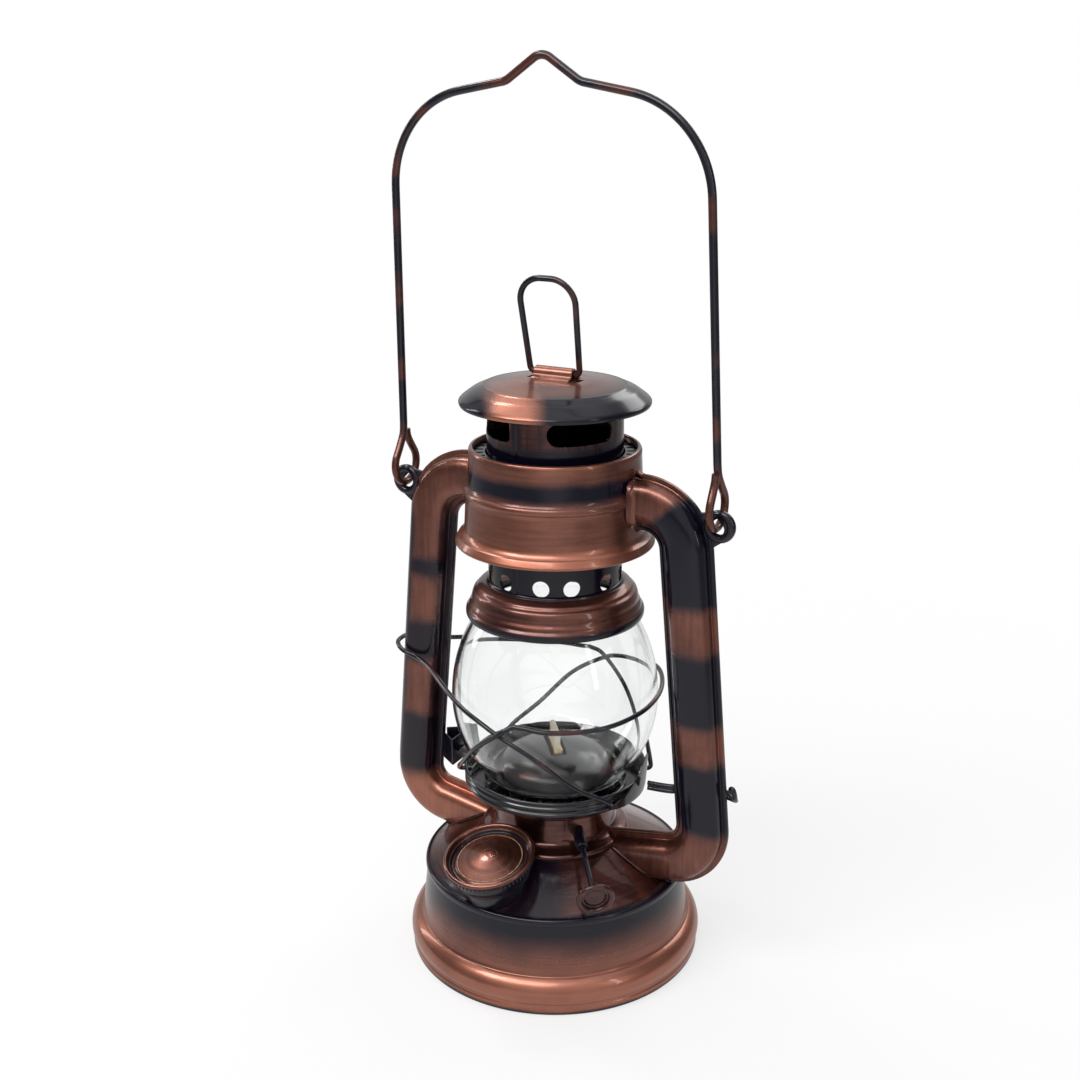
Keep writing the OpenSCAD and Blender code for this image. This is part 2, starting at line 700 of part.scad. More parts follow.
// Flat wick tube, with a window where the spur wheels reach the wick
module wick_tube() {
    color([0.72, 0.58, 0.28])
        rotate([0, 0, shaft_az])
            difference() {
                translate([-wick_w / 2 - wick_tube_wall, -wick_t / 2 - wick_tube_wall - wick_gap, deck_z - 6])
                    cube([wick_w + 2 * wick_tube_wall, wick_t + 2 * (wick_tube_wall + wick_gap),
                        dome_z + dome_h - deck_z + 6.6]);
                translate([-wick_w / 2, -wick_t / 2 - wick_gap, 0])
                    cube([wick_w, wick_t + 2 * wick_gap, far]);
                translate([-wick_w / 2, 0, shaft_z - spur_r - 0.6])
                    cube([wick_w, wick_t + 2, 2 * spur_r + 1.2]);
            }
}

// Burner dome with the flame slot
module burner_dome() {
    color(black_lacquer)
        difference() {
            spun(concat([[dome_r, dome_z], [dome_r, dome_z + 1.2]],
                [for (a = [8:10:78]) [(dome_r - 0.3) * cos(a), dome_z + 1.2 + (dome_h - 1.2) * sin(a)]],
                [[0.5, dome_z + dome_h]]), 0.4);
            rotate([0, 0, shaft_az])
                translate([-wick_w / 2 - 1.4, -wick_t / 2 - 1.6, dome_z + 4])
                    cube([wick_w + 2.8, wick_t + 3.2, 12]);
        }
}

// Short sleeve that carries the winder shaft out through the chamber's wall
sleeve_r = shaft_r + 0.75;
shaft_gap = 0.05;
sleeve_l = 8.4;
sleeve_from = chamber_r - 1.4;
module shaft_sleeve() {
    color(black_lacquer)
        at_shaft()
            translate([0, 0, sleeve_from])
                difference() {
                    cylinder(r = sleeve_r, h = sleeve_l);
                    translate([0, 0, -through])
                        cylinder(r = shaft_r + shaft_gap, h = sleeve_l + 2 * through);
                }
}

// Globe of blown glass
module globe() {
    color(glass_tint)
        spun(globe_outline(), glass_t);
}

// Globe plate: floor, upright rim, perforated inner cone, and a lug on each side
plate_inner_r = dome_r + 0.9;
lug_h = 8;
lug_low_z = plate_z - 1;
lug_half_y = 5.2;
lug_reach = 5.4;
lug_x = tube_mid_x(lug_low_z + lug_h + lift_travel) - tube_half_w - run_gap - lug_reach;
fin_x = plate_r + 1.6;
hook_r = guard_wire_r + 0.15;
hook_z = plate_z + 3.2;
hook_az = [-28, -152];
module globe_plate() {
    color(black_lacquer)
        difference() {
            spun([[plate_inner_r + 0.6, plate_z + 4.4], [plate_inner_r + 0.9, plate_z + 3.6],
                [plate_inner_r + 1.1, plate_z], [plate_r - 0.9, plate_z], [plate_r - 0.3, plate_z + 0.5],
                [plate_r, plate_z + 1.3], [plate_r, plate_z + plate_rim_h]], plate_sheet);
            for (k = [0:plate_holes - 1])
                rotate([0, 0, 360 * k / plate_holes])
                    translate([plate_inner_r - 1, 0, plate_z + 2.3])
                        rotate([0, 90, 0])
                            cylinder(r = 0.7, h = 3, $fn = 24);
            for (a = hook_az)
                for (turn = [0, 180])
                    rotate([0, 0, a + turn])
                        translate([plate_r - 2, 0, hook_z])
                            rotate([0, 90, 0])
                                cylinder(r = hook_r, h = 4, $fn = 24);
        }
}

// Guide lug: a web on the plate's rim, with two wings that straddle the left tube's inner seam
module guide_lug() {
    tip_y = tube_sheet + run_gap;
    color(black_lacquer)
        difference() {
            translate([-lug_x, 0, lug_low_z])
                union() {
                    translate([0, -lug_half_y, 0])
                        cube([plate_sheet, 2 * lug_half_y, lug_h]);
                    translate([0.2, -2, 3])
                        cube([lug_x - plate_r + 1, 4, plate_sheet]);
                    for (side = [0, 1])
                        mirror([0, side, 0])
                            linear_extrude(height = lug_h)
                                polygon([[0.1, -lug_half_y], [plate_sheet, -lug_half_y], [-lug_reach, -tip_y],
                                    [-lug_reach, -tip_y - plate_sheet]]);
                }
            cylinder(r = plate_r + seat, h = far);
        }
}

// Stop fin on the plate's rim, beside the right tube
module stop_fin() {
    color(black_lacquer)
        difference() {
            union() {
                translate([fin_x, 0, 0])
                    rotate([90, 0, -90])
                        linear_extrude(height = plate_sheet)
                            polygon([[-5, plate_z + 0.4], [6, plate_z + 0.4], [6.6, plate_z + 4.6],
                                [2, plate_z + 9], [-3.4, plate_z + 12.6], [-4.4, plate_z + 12.2], [-5, plate_z + 9]]);
                translate([fin_x - 4, -4, plate_z + 2])
                    cube([3.8, 8, plate_sheet]);
            }
            cylinder(r = plate_r, h = far);
        }
}

// Route of the right cage wire: plate, front crossing, sharp bend, round the right side, back
// crossing and plate again. The left wire is the same turned by half a turn, with a loop round
// the left tube.
guard_r = globe_r + guard_wire_r + guard_gap;
run_z = 78.4;
guard_right_points = [
    polar(-152, plate_r - 1.4, hook_z), polar(-152, plate_r + 1.2, hook_z), polar(-148, plate_r + 1.6, hook_z + 1.6),
    polar(-128, guard_r - 2, 60), polar(-108, guard_r - 0.1, 68.6), polar(-91, guard_r + 1.4, 75.6),
    polar(-84.5, guard_r + 0.2, 78), polar(-79, guard_r, 78.2), polar(-64, guard_r, 77.4), polar(-38, guard_r, 77.4),
    polar(-12, guard_r, run_z), polar(12, guard_r, run_z + 1.4), polar(38, guard_r, run_z + 1.8),
    polar(60, guard_r, run_z + 0.6), polar(78, guard_r + 0.2, run_z - 1), polar(89, guard_r - 0.1, 75.4),
    polar(108, guard_r - 0.4, 69.4), polar(128, guard_r - 2, 60.4), polar(146, plate_r + 1.8, hook_z + 2.4),
    polar(152, plate_r + 1.2, hook_z), polar(152, plate_r - 1.4, hook_z)];
loop_z = 80.6;
loop_x = tube_mid_x(loop_z);
loop_out = loop_x + tube_edge / cos(splay) + run_gap + guard_wire_r;
loop_y = tube_half_d + run_gap + guard_wire_r;
guard_left_points = [
    polar(28, plate_r - 1.4, hook_z), polar(28, plate_r + 1.2, hook_z), polar(32, plate_r + 1.6, hook_z + 1.6),
    polar(52, guard_r - 2, 60), polar(72, guard_r - 0.1, 68.6), polar(89, guard_r + 1.6, 75.6),
    polar(95.5, guard_r + 0.2, 78), polar(101, guard_r, 78.2), polar(118, guard_r, 79), polar(140, guard_r + 0.6, 80.4),
    [-loop_x + 8, loop_y + 6, loop_z + 0.8], [-loop_x + 1, loop_y + 0.6, loop_z + 1.4],
    [-loop_x - 4.6, loop_y - 0.6, loop_z + 1.8], [-loop_out + 0.6, 3, loop_z + 2], [-loop_out, 0, loop_z + 2],
    [-loop_out + 0.6, -3, loop_z + 1.6], [-loop_x - 4.6, -loop_y + 0.6, loop_z + 0.9],
    [-loop_x + 1, -loop_y - 0.6, loop_z], [-loop_x + 8, -loop_y - 5, loop_z],
    polar(-138, guard_r + 0.8, 79.6), polar(-119, guard_r, 78.4), polar(-102, guard_r, 76.6), polar(-89.6, guard_r - 0.1, 74),
    polar(-72, guard_r - 0.4, 69.2), polar(-52, guard_r - 2, 60.4), polar(-34, plate_r + 1.8, hook_z + 2.4),
    polar(-28, plate_r + 1.2, hook_z), polar(-28, plate_r - 1.4, hook_z)];
module guard_wire_right() {
    color(black_lacquer)
        swept_wire(spline(guard_right_points, 4), guard_wire_r);
}
module guard_wire_left() {
    color(black_lacquer)
        swept_wire(spline(guard_left_points, 4), guard_wire_r);
}

// Lever: one wire bent double, from the fin, behind the right tube, to an open finger loop
lever_z = plate_z + 2.6;
lever_x = tube_mid_x(lever_z);
lever_in = tube_mid_x(lever_z + lift_travel) - tube_half_w - run_gap;
lever_out = lever_x + tube_edge / cos(splay) + run_gap + guard_wire_r;
lever_pitch = 2 * guard_wire_r + 0.15;
lever_low = [
    [fin_x + guard_wire_r, 2.4, lever_z], [lever_in - 2.4, 3.6, lever_z],
    [lever_in + 0.6, loop_y + 0.4, lever_z], [lever_x - 1, loop_y + 1.2, lever_z + 0.2],
    [lever_x + 4.6, loop_y, lever_z + 0.6]];
lever_loop = [
    [lever_out + 0.2, 3.2, lever_z + 1.2], [lever_out + 0.5, 0.4, lever_z + 2.2], [lever_out + 0.5, -0.9, lever_z + 4.6],
    [lever_out + 0.5, 0.4, lever_z + 6.8], [lever_out + 0.2, 3, lever_z + 5.4]];
lever_points = concat(lever_low, lever_loop, [for (p = reversed(lever_low)) p + [0, 0, lever_pitch]]);
module lift_lever() {
    color(black_lacquer)
        swept_wire(spline(lever_points, 4), guard_wire_r);
}

// Chimney tube with four long slots above and pairs of draught holes below
module slot_cut() {
    rotate([0, 0, -slot_sweep / 2 + slot_end])
        rotate_extrude(angle = slot_sweep - 2 * slot_end)
            translate([chimney_r - 2, slot_z - slot_h / 2])
                square([4, slot_h]);
    for (side = [-1, 1])
        rotate([0, 0, side * (slot_sweep / 2 - slot_end)])
            translate([chimney_r - 3, 0, slot_z])
                rotate([0, 90, 0])
                    cylinder(r = slot_h / 2, h = 6);
}
slot_end = asin(slot_h / 2 / chimney_r);
slot_first = -39;
draught_first = -61;
module chimney_tube() {
    color(dark_copper)
        difference() {
            translate([0, 0, bell_joint_z - bell_lap])
                cylinder(r = chimney_r, h = tube_top_z - bell_joint_z + bell_lap);
            cylinder(r = chimney_r - chimney_sheet, h = far);
            for (k = [0:slots - 1])
                rotate([0, 0, slot_first + 360 * k / slots])
                    slot_cut();
            for (k = [0:draught_pairs - 1])
                for (side = [-1, 1])
                    rotate([0, 0, draught_first + 360 * k / draught_pairs + side * draught_pair_angle / 2])
                        translate([chimney_r - 3, 0, draught_z])
                            rotate([0, 90, 0])
                                cylinder(d = draught_d, h = 6);
        }
}

// Bell that seats on the globe
module chimney_bell() {
    color(copper)
        spun(bell_outline(), chimney_sheet);
}

// Cap with the lanced bridge that holds the lifting ring
ring_gap = 0.35;
ring_axis_z = cap_top_z + 0.4 + ring_wire_r;
bridge_in = ring_wire_r + ring_gap;
bridge_out = bridge_in + chimney_sheet;
bridge_wing = 1.3;
module bridge_section() {
    difference() {
        union() {
            translate([0, ring_axis_z])
                circle(r = bridge_out);
            translate([-bridge_out, cap_top_z - 0.5])
                square([2 * bridge_out, ring_axis_z - cap_top_z + 0.5]);
            translate([-bridge_out - bridge_wing, cap_top_z - 0.6])
                square([2 * (bridge_out + bridge_wing), chimney_sheet + 0.4]);
        }
        translate([0, ring_axis_z])
            circle(r = bridge_in);
        translate([-bridge_in, cap_top_z - through])
            square([2 * bridge_in, ring_axis_z - cap_top_z + through]);
    }
}
module chimney_cap() {
    color(black_lacquer)
        difference() {
            spun(cap_outline(), chimney_sheet);
            for (side = [-1, 1])
                translate([side * (bridge_l / 2 + 1), 0, cap_top_z - 1])
                    cube([2, 2 * bridge_in + 1, 6], center = true);
        }
    color(copper)
        translate([-bridge_l / 2, 0, 0])
            rotate([90, 0, 90])
                linear_extrude(height = bridge_l)
                    bridge_section();
}

// Lifting ring of bent wire, with its lower bar in the bridge
ring_taper = 2.2;
ring_foot_bend = 1.5;
ring_foot_half = bridge_l / 2 + 0.2;
ring_side = (ring_h - ring_bend_r * (1 + sin(ring_taper))
    - ring_foot_bend * (1 - sin(ring_taper))) / cos(ring_taper);
ring_top_half = ring_foot_half + ring_foot_bend * cos(ring_taper) + ring_side * sin(ring_taper)
    - ring_bend_r * cos(ring_taper);
module ring_half() {
    translate([0, 0, ring_h])
        rotate([0, 90, 0])
            bent_wire([[ring_top_half, 90 + ring_taper, ring_bend_r], [ring_side, 90 - ring_taper, ring_foot_bend],
                [ring_foot_half, 0, 1]], ring_wire_r);
}
module lifting_ring() {
    color(black_lacquer)
        translate([0, 0, ring_axis_z])
            rotate([ring_lean, 0, 0]) {
                ring_half();
                mirror([1, 0, 0])
                    ring_half();
            }
}

// Bail: ogee peak, sloping shoulders, near-upright arms and a round eye at each end
bail_hinge_z = ear_hole_z + bail_eye_r;
bail_neck = 3.4;
peak_slope = 34;
peak_bend = 4;
shoulder_slope = 10;
valley_bend = 5;
arm_flare = 2;
peak_run = 8.5;
bail_top = bail_hinge_z + (bail_peak_z - bail_wire_r - bail_hinge_z) / cos(bail_lean);
peak_x = peak_bend * sin(peak_slope) + peak_run * cos(peak_slope) + valley_bend * (sin(peak_slope) - sin(shoulder_slope));
peak_drop = peak_bend * (1 - cos(peak_slope)) + peak_run * sin(peak_slope)
    + valley_bend * (cos(shoulder_slope) - cos(peak_slope));
bend_x = bail_bend_r * (cos(arm_flare) - sin(shoulder_slope));
bend_drop = bail_bend_r * (cos(shoulder_slope) - sin(arm_flare));
neck_z = bail_hinge_z + bail_eye_r + bail_neck;
// The straight run on the shoulder and the arm's length close the shape on the eye
shoulder_run = (bail_eye_x - peak_x - bend_x - (bail_top - peak_drop - bend_drop - neck_z) * tan(arm_flare))
    / (cos(shoulder_slope) - sin(shoulder_slope) * tan(arm_flare));
arm_len = (bail_top - peak_drop - bend_drop - shoulder_run * sin(shoulder_slope) - neck_z) / cos(arm_flare);
eye_leave = acos(bail_eye_r / (bail_eye_r + bail_neck));
eye_strand = bail_eye_r * tan(eye_leave);
eye_cut = joint_gap / bail_eye_r * 180 / PI;
neck_bead_r = bail_wire_r * 1.48;
module bail_half() {
    translate([0, 0, bail_top])
        rotate([0, 90, 0])
            bent_wire([[0, peak_slope, peak_bend], [peak_run, shoulder_slope - peak_slope, valley_bend],
                [shoulder_run, 90 - arm_flare - shoulder_slope, bail_bend_r], [arm_len, 0, 1]], bail_wire_r);
    // Crimped neck, the two strands that leave it, and the eye round the hinge line
    translate([bail_eye_x, 0, neck_z])
        sphere(r = neck_bead_r);
    translate([bail_eye_x, 0, bail_hinge_z]) {
        for (side = [-1, 1])
            rotate([side * eye_leave, 0, 0])
                translate([0, 0, bail_eye_r]) {
                    sphere(r = bail_wire_r * joint_ball);
                    rotate([side * -90, 0, 0])
                        translate([0, 0, joint_gap])
                            cylinder(r = bail_wire_r, h = eye_strand - joint_gap - bail_wire_r);
                }
        rotate([0, 90, 0])
            rotate([0, 0, 180 + eye_leave + eye_cut])
                rotate_extrude(angle = 360 - 2 * (eye_leave + eye_cut))
                    translate([bail_eye_r, 0])
                        circle(r = bail_wire_r);
    }
}
module bail() {
    color(black_lacquer)
        translate([0, 0, bail_hinge_z])
            rotate([bail_lean, 0, 0])
                translate([-bail_shift, 0, -bail_hinge_z]) {
                    bail_half();
                    mirror([1, 0, 0])
                        bail_half();
                }
}

// Flat wick that hangs down into the tank
module wick() {
    color([0.93, 0.90, 0.82])
        rotate([0, 0, shaft_az])
            translate([-wick_w / 2 + 2 * wick_gap, -wick_t / 2, wick_low_z])
                cube([wick_w - 4 * wick_gap, wick_t, wick_top_z - wick_low_z]);
}

// Winder shaft, spur wheels and knob
module winder_shaft() {
    color([0.5, 0.5, 0.5])
        at_shaft()
            translate([0, 0, -wick_w / 2])
                cylinder(r = shaft_r, h = shaft_l + wick_w / 2 - knob_t + 0.4);
}
spur_teeth = 8;
module spur_wheels() {
    color([0.6, 0.6, 0.6])
        at_shaft()
            for (side = [-1, 1])
                translate([0, 0, side * wick_w / 4 - 0.3])
                    difference() {
                        linear_extrude(height = 0.6)
                            polygon([for (k = [0:2 * spur_teeth - 1]) let (a = 180 * k / spur_teeth + 11,
                                r = k % 2 == 0 ? spur_r : spur_r - 0.9) [r * cos(a), r * sin(a)]]);
                        translate([0, 0, -1])
                            cylinder(r = shaft_r, h = 3);
                    }
}
knob_t = 2.6;
module wick_knob() {
    color(dark_copper)
        at_shaft()
            translate([0, 0, shaft_l - knob_t])
                difference() {
                    rotate_extrude()
                        polygon([[0, 0], [knob_r - 1, 0], [knob_r - 0.2, 0.5], [knob_r, 1], [knob_r, 1.7],
                            [knob_r - 0.5, knob_t], [knob_r - 1, knob_t], [knob_r - 1.4, knob_t - 0.7],
                            [0, knob_t - 0.9]]);
                    translate([0, 0, -1])
                        cylinder(r = shaft_r, h = 1.4);
                }
}

tank_floor();
tank_shell();
tank_top();
filler_neck();
air_chamber();
tube_right_front();
tube_right_back();
tube_left_front();
tube_left_back();
hood();
hood_top();
ear_right();
ear_left();
burner_base();
wick_tube();
burner_dome();
shaft_sleeve();
filler_gasket();
filler_cap();
globe();
globe_plate();
guide_lug();
stop_fin();
guard_wire_right();
guard_wire_left();
lift_lever();
chimney_tube();
chimney_bell();
chimney_cap();
lifting_ring();
bail();
wick();
winder_shaft();
spur_wheels();
wick_knob();
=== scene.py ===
import math
import bmesh
import bpy
from mathutils import Matrix, Vector


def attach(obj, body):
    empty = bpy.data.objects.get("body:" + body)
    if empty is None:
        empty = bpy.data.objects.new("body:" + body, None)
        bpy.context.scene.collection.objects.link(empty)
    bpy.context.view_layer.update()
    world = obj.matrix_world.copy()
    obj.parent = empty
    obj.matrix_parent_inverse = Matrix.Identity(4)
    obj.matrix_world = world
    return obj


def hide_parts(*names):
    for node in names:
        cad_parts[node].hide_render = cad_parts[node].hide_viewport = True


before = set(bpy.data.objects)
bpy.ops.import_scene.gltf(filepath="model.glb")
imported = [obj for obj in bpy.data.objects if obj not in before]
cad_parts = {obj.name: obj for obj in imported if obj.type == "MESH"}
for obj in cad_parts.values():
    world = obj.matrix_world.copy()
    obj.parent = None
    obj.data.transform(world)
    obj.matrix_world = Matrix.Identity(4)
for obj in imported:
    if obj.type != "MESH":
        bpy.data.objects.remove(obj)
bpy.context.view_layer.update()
mm = 0.001
print("lantern: frame loaded with", len(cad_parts), "nodes")


# ---- node trees written as plain sums

class Sock:
    def __init__(self, graph, socket):
        self.graph = graph
        self.socket = socket

    def __add__(self, other):
        return self.graph.calc("ADD", self, other)

    def __sub__(self, other):
        return self.graph.calc("SUBTRACT", self, other)

    def __rsub__(self, other):
        return self.graph.calc("SUBTRACT", other, self)

    def __mul__(self, other):
        return self.graph.calc("MULTIPLY", self, other)

    def __truediv__(self, other):
        return self.graph.calc("DIVIDE", self, other)

    def __rtruediv__(self, other):
        return self.graph.calc("DIVIDE", other, self)

    def __neg__(self):
        return self.graph.calc("MULTIPLY", self, -1.0)

    def __abs__(self):
        return self.graph.calc("ABSOLUTE", self)

    __radd__ = __add__
    __rmul__ = __mul__

    def most(self, other):
        return self.graph.calc("MAXIMUM", self, other)

    def least(self, other):
        return self.graph.calc("MINIMUM", self, other)


class Graph:
    def __init__(self, tree):
        self.tree = tree

    # any node: its type, its settings first, then values or links for its sockets
    def put(self, kind, settings=None, inputs=None, out=0):
        node = self.tree.nodes.new(kind)
        for key, value in (settings or {}).items():
            setattr(node, key, value)
        for key, value in (inputs or {}).items():
            self.feed(node.inputs[key], value)
        return Sock(self, node.outputs[out]) if len(node.outputs) else node

    def feed(self, socket, value):
        if isinstance(value, Sock):
            self.tree.links.new(value.socket, socket)
        else:
            socket.default_value = value

    def calc(self, operation, *values):
        return self.put("ShaderNodeMath", {"operation": operation}, dict(enumerate(values)))

    # 0 under low, 1 over high, with a soft climb between
    def climb(self, value, low, high):
        return self.put("ShaderNodeMapRange", {"interpolation_type": "SMOOTHSTEP"},
                        {0: value, 1: low, 2: high, 3: 0.0, 4: 1.0})


class Finish(Graph):
    def __init__(self, name):
        self.material = bpy.data.materials.new(name)
        self.material.use_nodes = True
        super().__init__(self.material.node_tree)
        self.tree.nodes.clear()
        self.place = self.put("ShaderNodeTexCoord", out=3)
        scaled = self.put("ShaderNodeVectorMath", {"operation": "SCALE"}, {0: self.place, 3: 1000.0})
        split = self.tree.nodes.new("ShaderNodeSeparateXYZ")
        self.tree.links.new(scaled.socket, split.inputs[0])
        self.x, self.y, self.z = [Sock(self, split.outputs[k]) for k in range(3)]
        self.scaled = scaled
        turn = math.radians(cameraLook["azimuth"])
        self.across = self.x * math.cos(turn) + self.y * math.sin(turn)   # to the photo's right
        self.ahead = self.x * math.sin(turn) - self.y * math.cos(turn)    # to the photo's front

    # noise by feature size in mm
    def noise(self, size, detail=2.0, stretch=(1, 1, 1), rough=0.5):
        point = self.scaled
        if stretch != (1, 1, 1):
            point = self.put("ShaderNodeVectorMath", {"operation": "MULTIPLY"}, {0: point, 1: stretch})
        return self.put("ShaderNodeTexNoise", {}, {"Vector": point, "Scale": 1.0 / size, "Detail": detail, "Roughness": rough})

    def blend(self, factor, first, second):
        a = first if isinstance(first, Sock) else (*first, 1.0)
        b = second if isinstance(second, Sock) else (*second, 1.0)
        return self.put("ShaderNodeMix", {"data_type": "RGBA"}, {0: factor, 6: a, 7: b}, out=2)

    def band(self, value, low, high, soft):
        return self.climb(value, low - soft, low + soft) * (1 - self.climb(value, high - soft, high + soft))

    def close(self, height=None, lift=0.02, plain=None, **sockets):
        shader = self.tree.nodes.new("ShaderNodeBsdfPrincipled")
        for key, value in (plain or {}).items():
            shader.inputs[key].default_value = value
        for key, value in sockets.items():
            self.feed(shader.inputs[key.replace("_", " ")], value)
        if height is not None:
            bump = self.put("ShaderNodeBump", {}, {"Strength": 1.0, "Distance": lift * mm, "Height": height})
            self.feed(shader.inputs["Normal"], bump)
        out = self.tree.nodes.new("ShaderNodeOutputMaterial")
        self.tree.links.new(shader.outputs[0], out.inputs[0])
        return self.material


# ---- camera, light and floor

cameraLook = {"place": (0.1740, -0.3272, 0.2414), "azimuth": 28.0, "pitch": 18.13, "lens": 48.59, "shift": -0.0141}
lightLook = {
    "world": 0.55,      # what matt surfaces get from the room
    "mirror": 0.60,     # how bright the room is in gloss, ahead and behind
    "sides": 0.80,      # the share of that lost towards both sides
    "zenith": 0.85,     # the share gained straight overhead
    "boxes": [  # name, place, size, radiance
        ("keyBox", (-0.34, -0.50, 0.70), (0.24, 0.24), 11.0),
        ("frontBox", (0.02, -0.58, 0.82), (0.56, 0.34), 4.8),
        ("leftStrip", (-0.75, 0.05, 0.35), (0.08, 0.50), 6.0),
        ("rightStrip", (0.74, -0.20, 0.38), (0.06, 0.50), 5.0),
        ("backLamp", (-0.48, 0.19, 0.80), (0.15, 0.15), 15.0),
        ("rearBox", (0.15, 0.75, 0.60), (0.60, 0.30), 3.0)]}


def makeCamera():
    lens = bpy.data.cameras.new("photoCamera")
    lens.sensor_width = 36.0
    lens.lens = cameraLook["lens"]
    lens.shift_x = cameraLook["shift"]
    lens.clip_start = 0.01
    lens.clip_end = 20.0
    eye = bpy.data.objects.new("photoCamera", lens)
    bpy.context.collection.objects.link(eye)
    eye.location = cameraLook["place"]
    eye.rotation_euler = (math.radians(90 - cameraLook["pitch"]), 0.0, math.radians(cameraLook["azimuth"]))
    bpy.context.scene.camera = eye


# what camera, mirror and see-through rays find: white, dimmer in gloss
def seenLevel(graph, matt, share=1.0):
    path = graph.tree.nodes.new("ShaderNodeLightPath")
    camera, glossy, through = [Sock(graph, path.outputs[name]) for name in
                               ("Is Camera Ray", "Is Glossy Ray", "Is Transmission Ray")]
    clear = camera.most(through)
    mirror = glossy * (1 - clear)
    bent = clear * (1 - camera)
    white = camera + bent * ((share * 0.75 + 0.25).least(1.0) if isinstance(share, Sock) else share)
    return clear, mirror, white + mirror * share * lightLook["mirror"] + (1 - clear) * (1 - mirror) * matt


# a place or direction seen from the camera: how far across, and how high
def crossing(graph, point):
    split = graph.tree.nodes.new("ShaderNodeSeparateXYZ")
    graph.tree.links.new(point.socket, split.inputs[0])
    x, y, z = [Sock(graph, split.outputs[k]) for k in range(3)]
    turn = math.radians(cameraLook["azimuth"])
    return x * math.cos(turn) + y * math.sin(turn), z


def makeLight():
    world = bpy.data.worlds.new("paleRoom")
    world.use_nodes = True
    bpy.context.scene.world = world
    room = Graph(world.node_tree)
    world.node_tree.nodes.clear()
    across, high = crossing(room, room.put("ShaderNodeTexCoord"))
    share = (1 - room.climb(abs(across), 0.35, 0.85) * lightLook["sides"]) * (room.climb(high, 0.72, 0.94) * lightLook["zenith"] + 1)
    glow = room.put("ShaderNodeBackground", {}, {"Color": (1, 1, 1, 1), "Strength": seenLevel(room, lightLook["world"], share)[2]})
    out = world.node_tree.nodes.new("ShaderNodeOutputWorld")
    world.node_tree.links.new(glow.socket, out.inputs[0])
    for name, place, size, radiance in lightLook["boxes"]:
        lamp = bpy.data.lights.new(name, "AREA")
        lamp.shape = "RECTANGLE"
        lamp.size, lamp.size_y = size
        lamp.energy = radiance * math.pi * size[0] * size[1]
        stand = bpy.data.objects.new(name, lamp)
        stand.location = place
        stand.rotation_euler = (Vector((0, 0, 0.1)) - Vector(place)).to_track_quat("-Z", "Y").to_euler()
        bpy.context.collection.objects.link(stand)


def makeFloor():
    bpy.ops.mesh.primitive_circle_add(vertices=96, radius=4.0, fill_type="NGON")
    floor = bpy.context.object
    floor.name = "paleFloor"
    sheet = bpy.data.materials.new("paleFloorPaint")
    sheet.use_nodes = True
    paint = Graph(sheet.node_tree)
    sheet.node_tree.nodes.clear()
    place = paint.put("ShaderNodeTexCoord", out=3)
    reach = paint.put("ShaderNodeVectorMath", {"operation": "LENGTH"}, {0: place}, out=1)
    away = paint.climb(reach, 0.10, 0.45)
    across, high = crossing(paint, place)
    clear, mirror, level = seenLevel(paint, 0.0, 1 - paint.climb(abs(across), 0.12, 0.42) * lightLook["sides"])
    share = clear * (away * 0.34 + 0.66) + mirror * 0.8
    matt = paint.put("ShaderNodeBsdfDiffuse", {}, {"Color": (0.86, 0.86, 0.86, 1)})
    white = paint.put("ShaderNodeEmission", {}, {"Color": (1, 1, 1, 1), "Strength": level})
    both = paint.put("ShaderNodeMixShader", {}, {0: share, 1: matt, 2: white})
    out = sheet.node_tree.nodes.new("ShaderNodeOutputMaterial")
    sheet.node_tree.links.new(both.socket, out.inputs[0])
    floor.data.materials.append(sheet)


bpy.context.scene.view_settings.view_transform = "Standard"
makeCamera()
makeLight()
makeFloor()
print("lantern: camera, light and floor ready")


# ---- finishes

lacquerLook = {"bright": (0.44, 0.168, 0.108), "deep": (0.080, 0.029, 0.026), "black": (0.0030, 0.0028, 0.0095)}


# copper lacquer with black sprayed over it where the mask function says so, and for some parts painted shade there too;
# its grain runs round a spun part or along a tube; the optional highlight function lightens the copper where light
# falls on it, a painted highlight
def lacquer(name, darkAt, warmth=0.5, rough=0.36, spun=True, paintedHighlightAt=None, local=None):
    f = Finish(name)
    drift = f.noise(14, 3.0) - 0.5
    spray = f.noise(0.40, 2.0) - 0.5
    # the mask holds the sprayed black and, for some parts, painted shade
    black = darkAt(f, drift)
    edge = black * (1 - black) * 4
    black = (black + spray * edge * 0.40).most(0.0).least(1.0)
    cloud = f.noise(20, 4.0, rough=0.6) - 0.5
    if spun:
        high, reach = local(f) if local else (f.z, f.calc("SQRT", f.x * f.x + f.y * f.y))
        round = 0.0 if local else f.calc("ARCTAN2", f.y, f.x) * 1.4
        lane = f.put("ShaderNodeCombineXYZ", {}, {0: reach, 1: high, 2: round})
        streak = f.put("ShaderNodeTexNoise", {}, {"Vector": lane, "Scale": 1.3, "Detail": 3.0, "Roughness": 0.5}) - 0.5
    else:
        streak = f.noise(1.1, 3.0, stretch=(1, 1, 0.06)) - 0.5
    flake = f.noise(0.20, 2.0)
    # painted highlight: the copper made brighter where light falls on it
    if paintedHighlightAt:
        warmth = paintedHighlightAt(f, drift) + warmth
    tone = (cloud * 1.1 + streak * 0.55 + (flake - 0.5) * 0.30 + warmth).most(0.0).least(1.0)
    copper = f.blend(tone, lacquerLook["deep"], lacquerLook["bright"])
    colour = f.blend(black, copper, lacquerLook["black"])
    peel = f.noise(2.6, 2.0)
    return f.close(
        height=flake * 0.22 + peel * 0.60 + streak * 0.10 * (1 - black), lift=0.012,
        plain={"Coat Roughness": 0.05, "IOR": 1.5, "Coat IOR": 1.5, "Specular IOR Level": 0.42},
        Base_Color=colour, Metallic=0.92 - black * 0.88,
        Roughness=rough - black * (rough - 0.17) + streak * 0.12 * (1 - black), Coat_Weight=0.55 - black * 0.45)


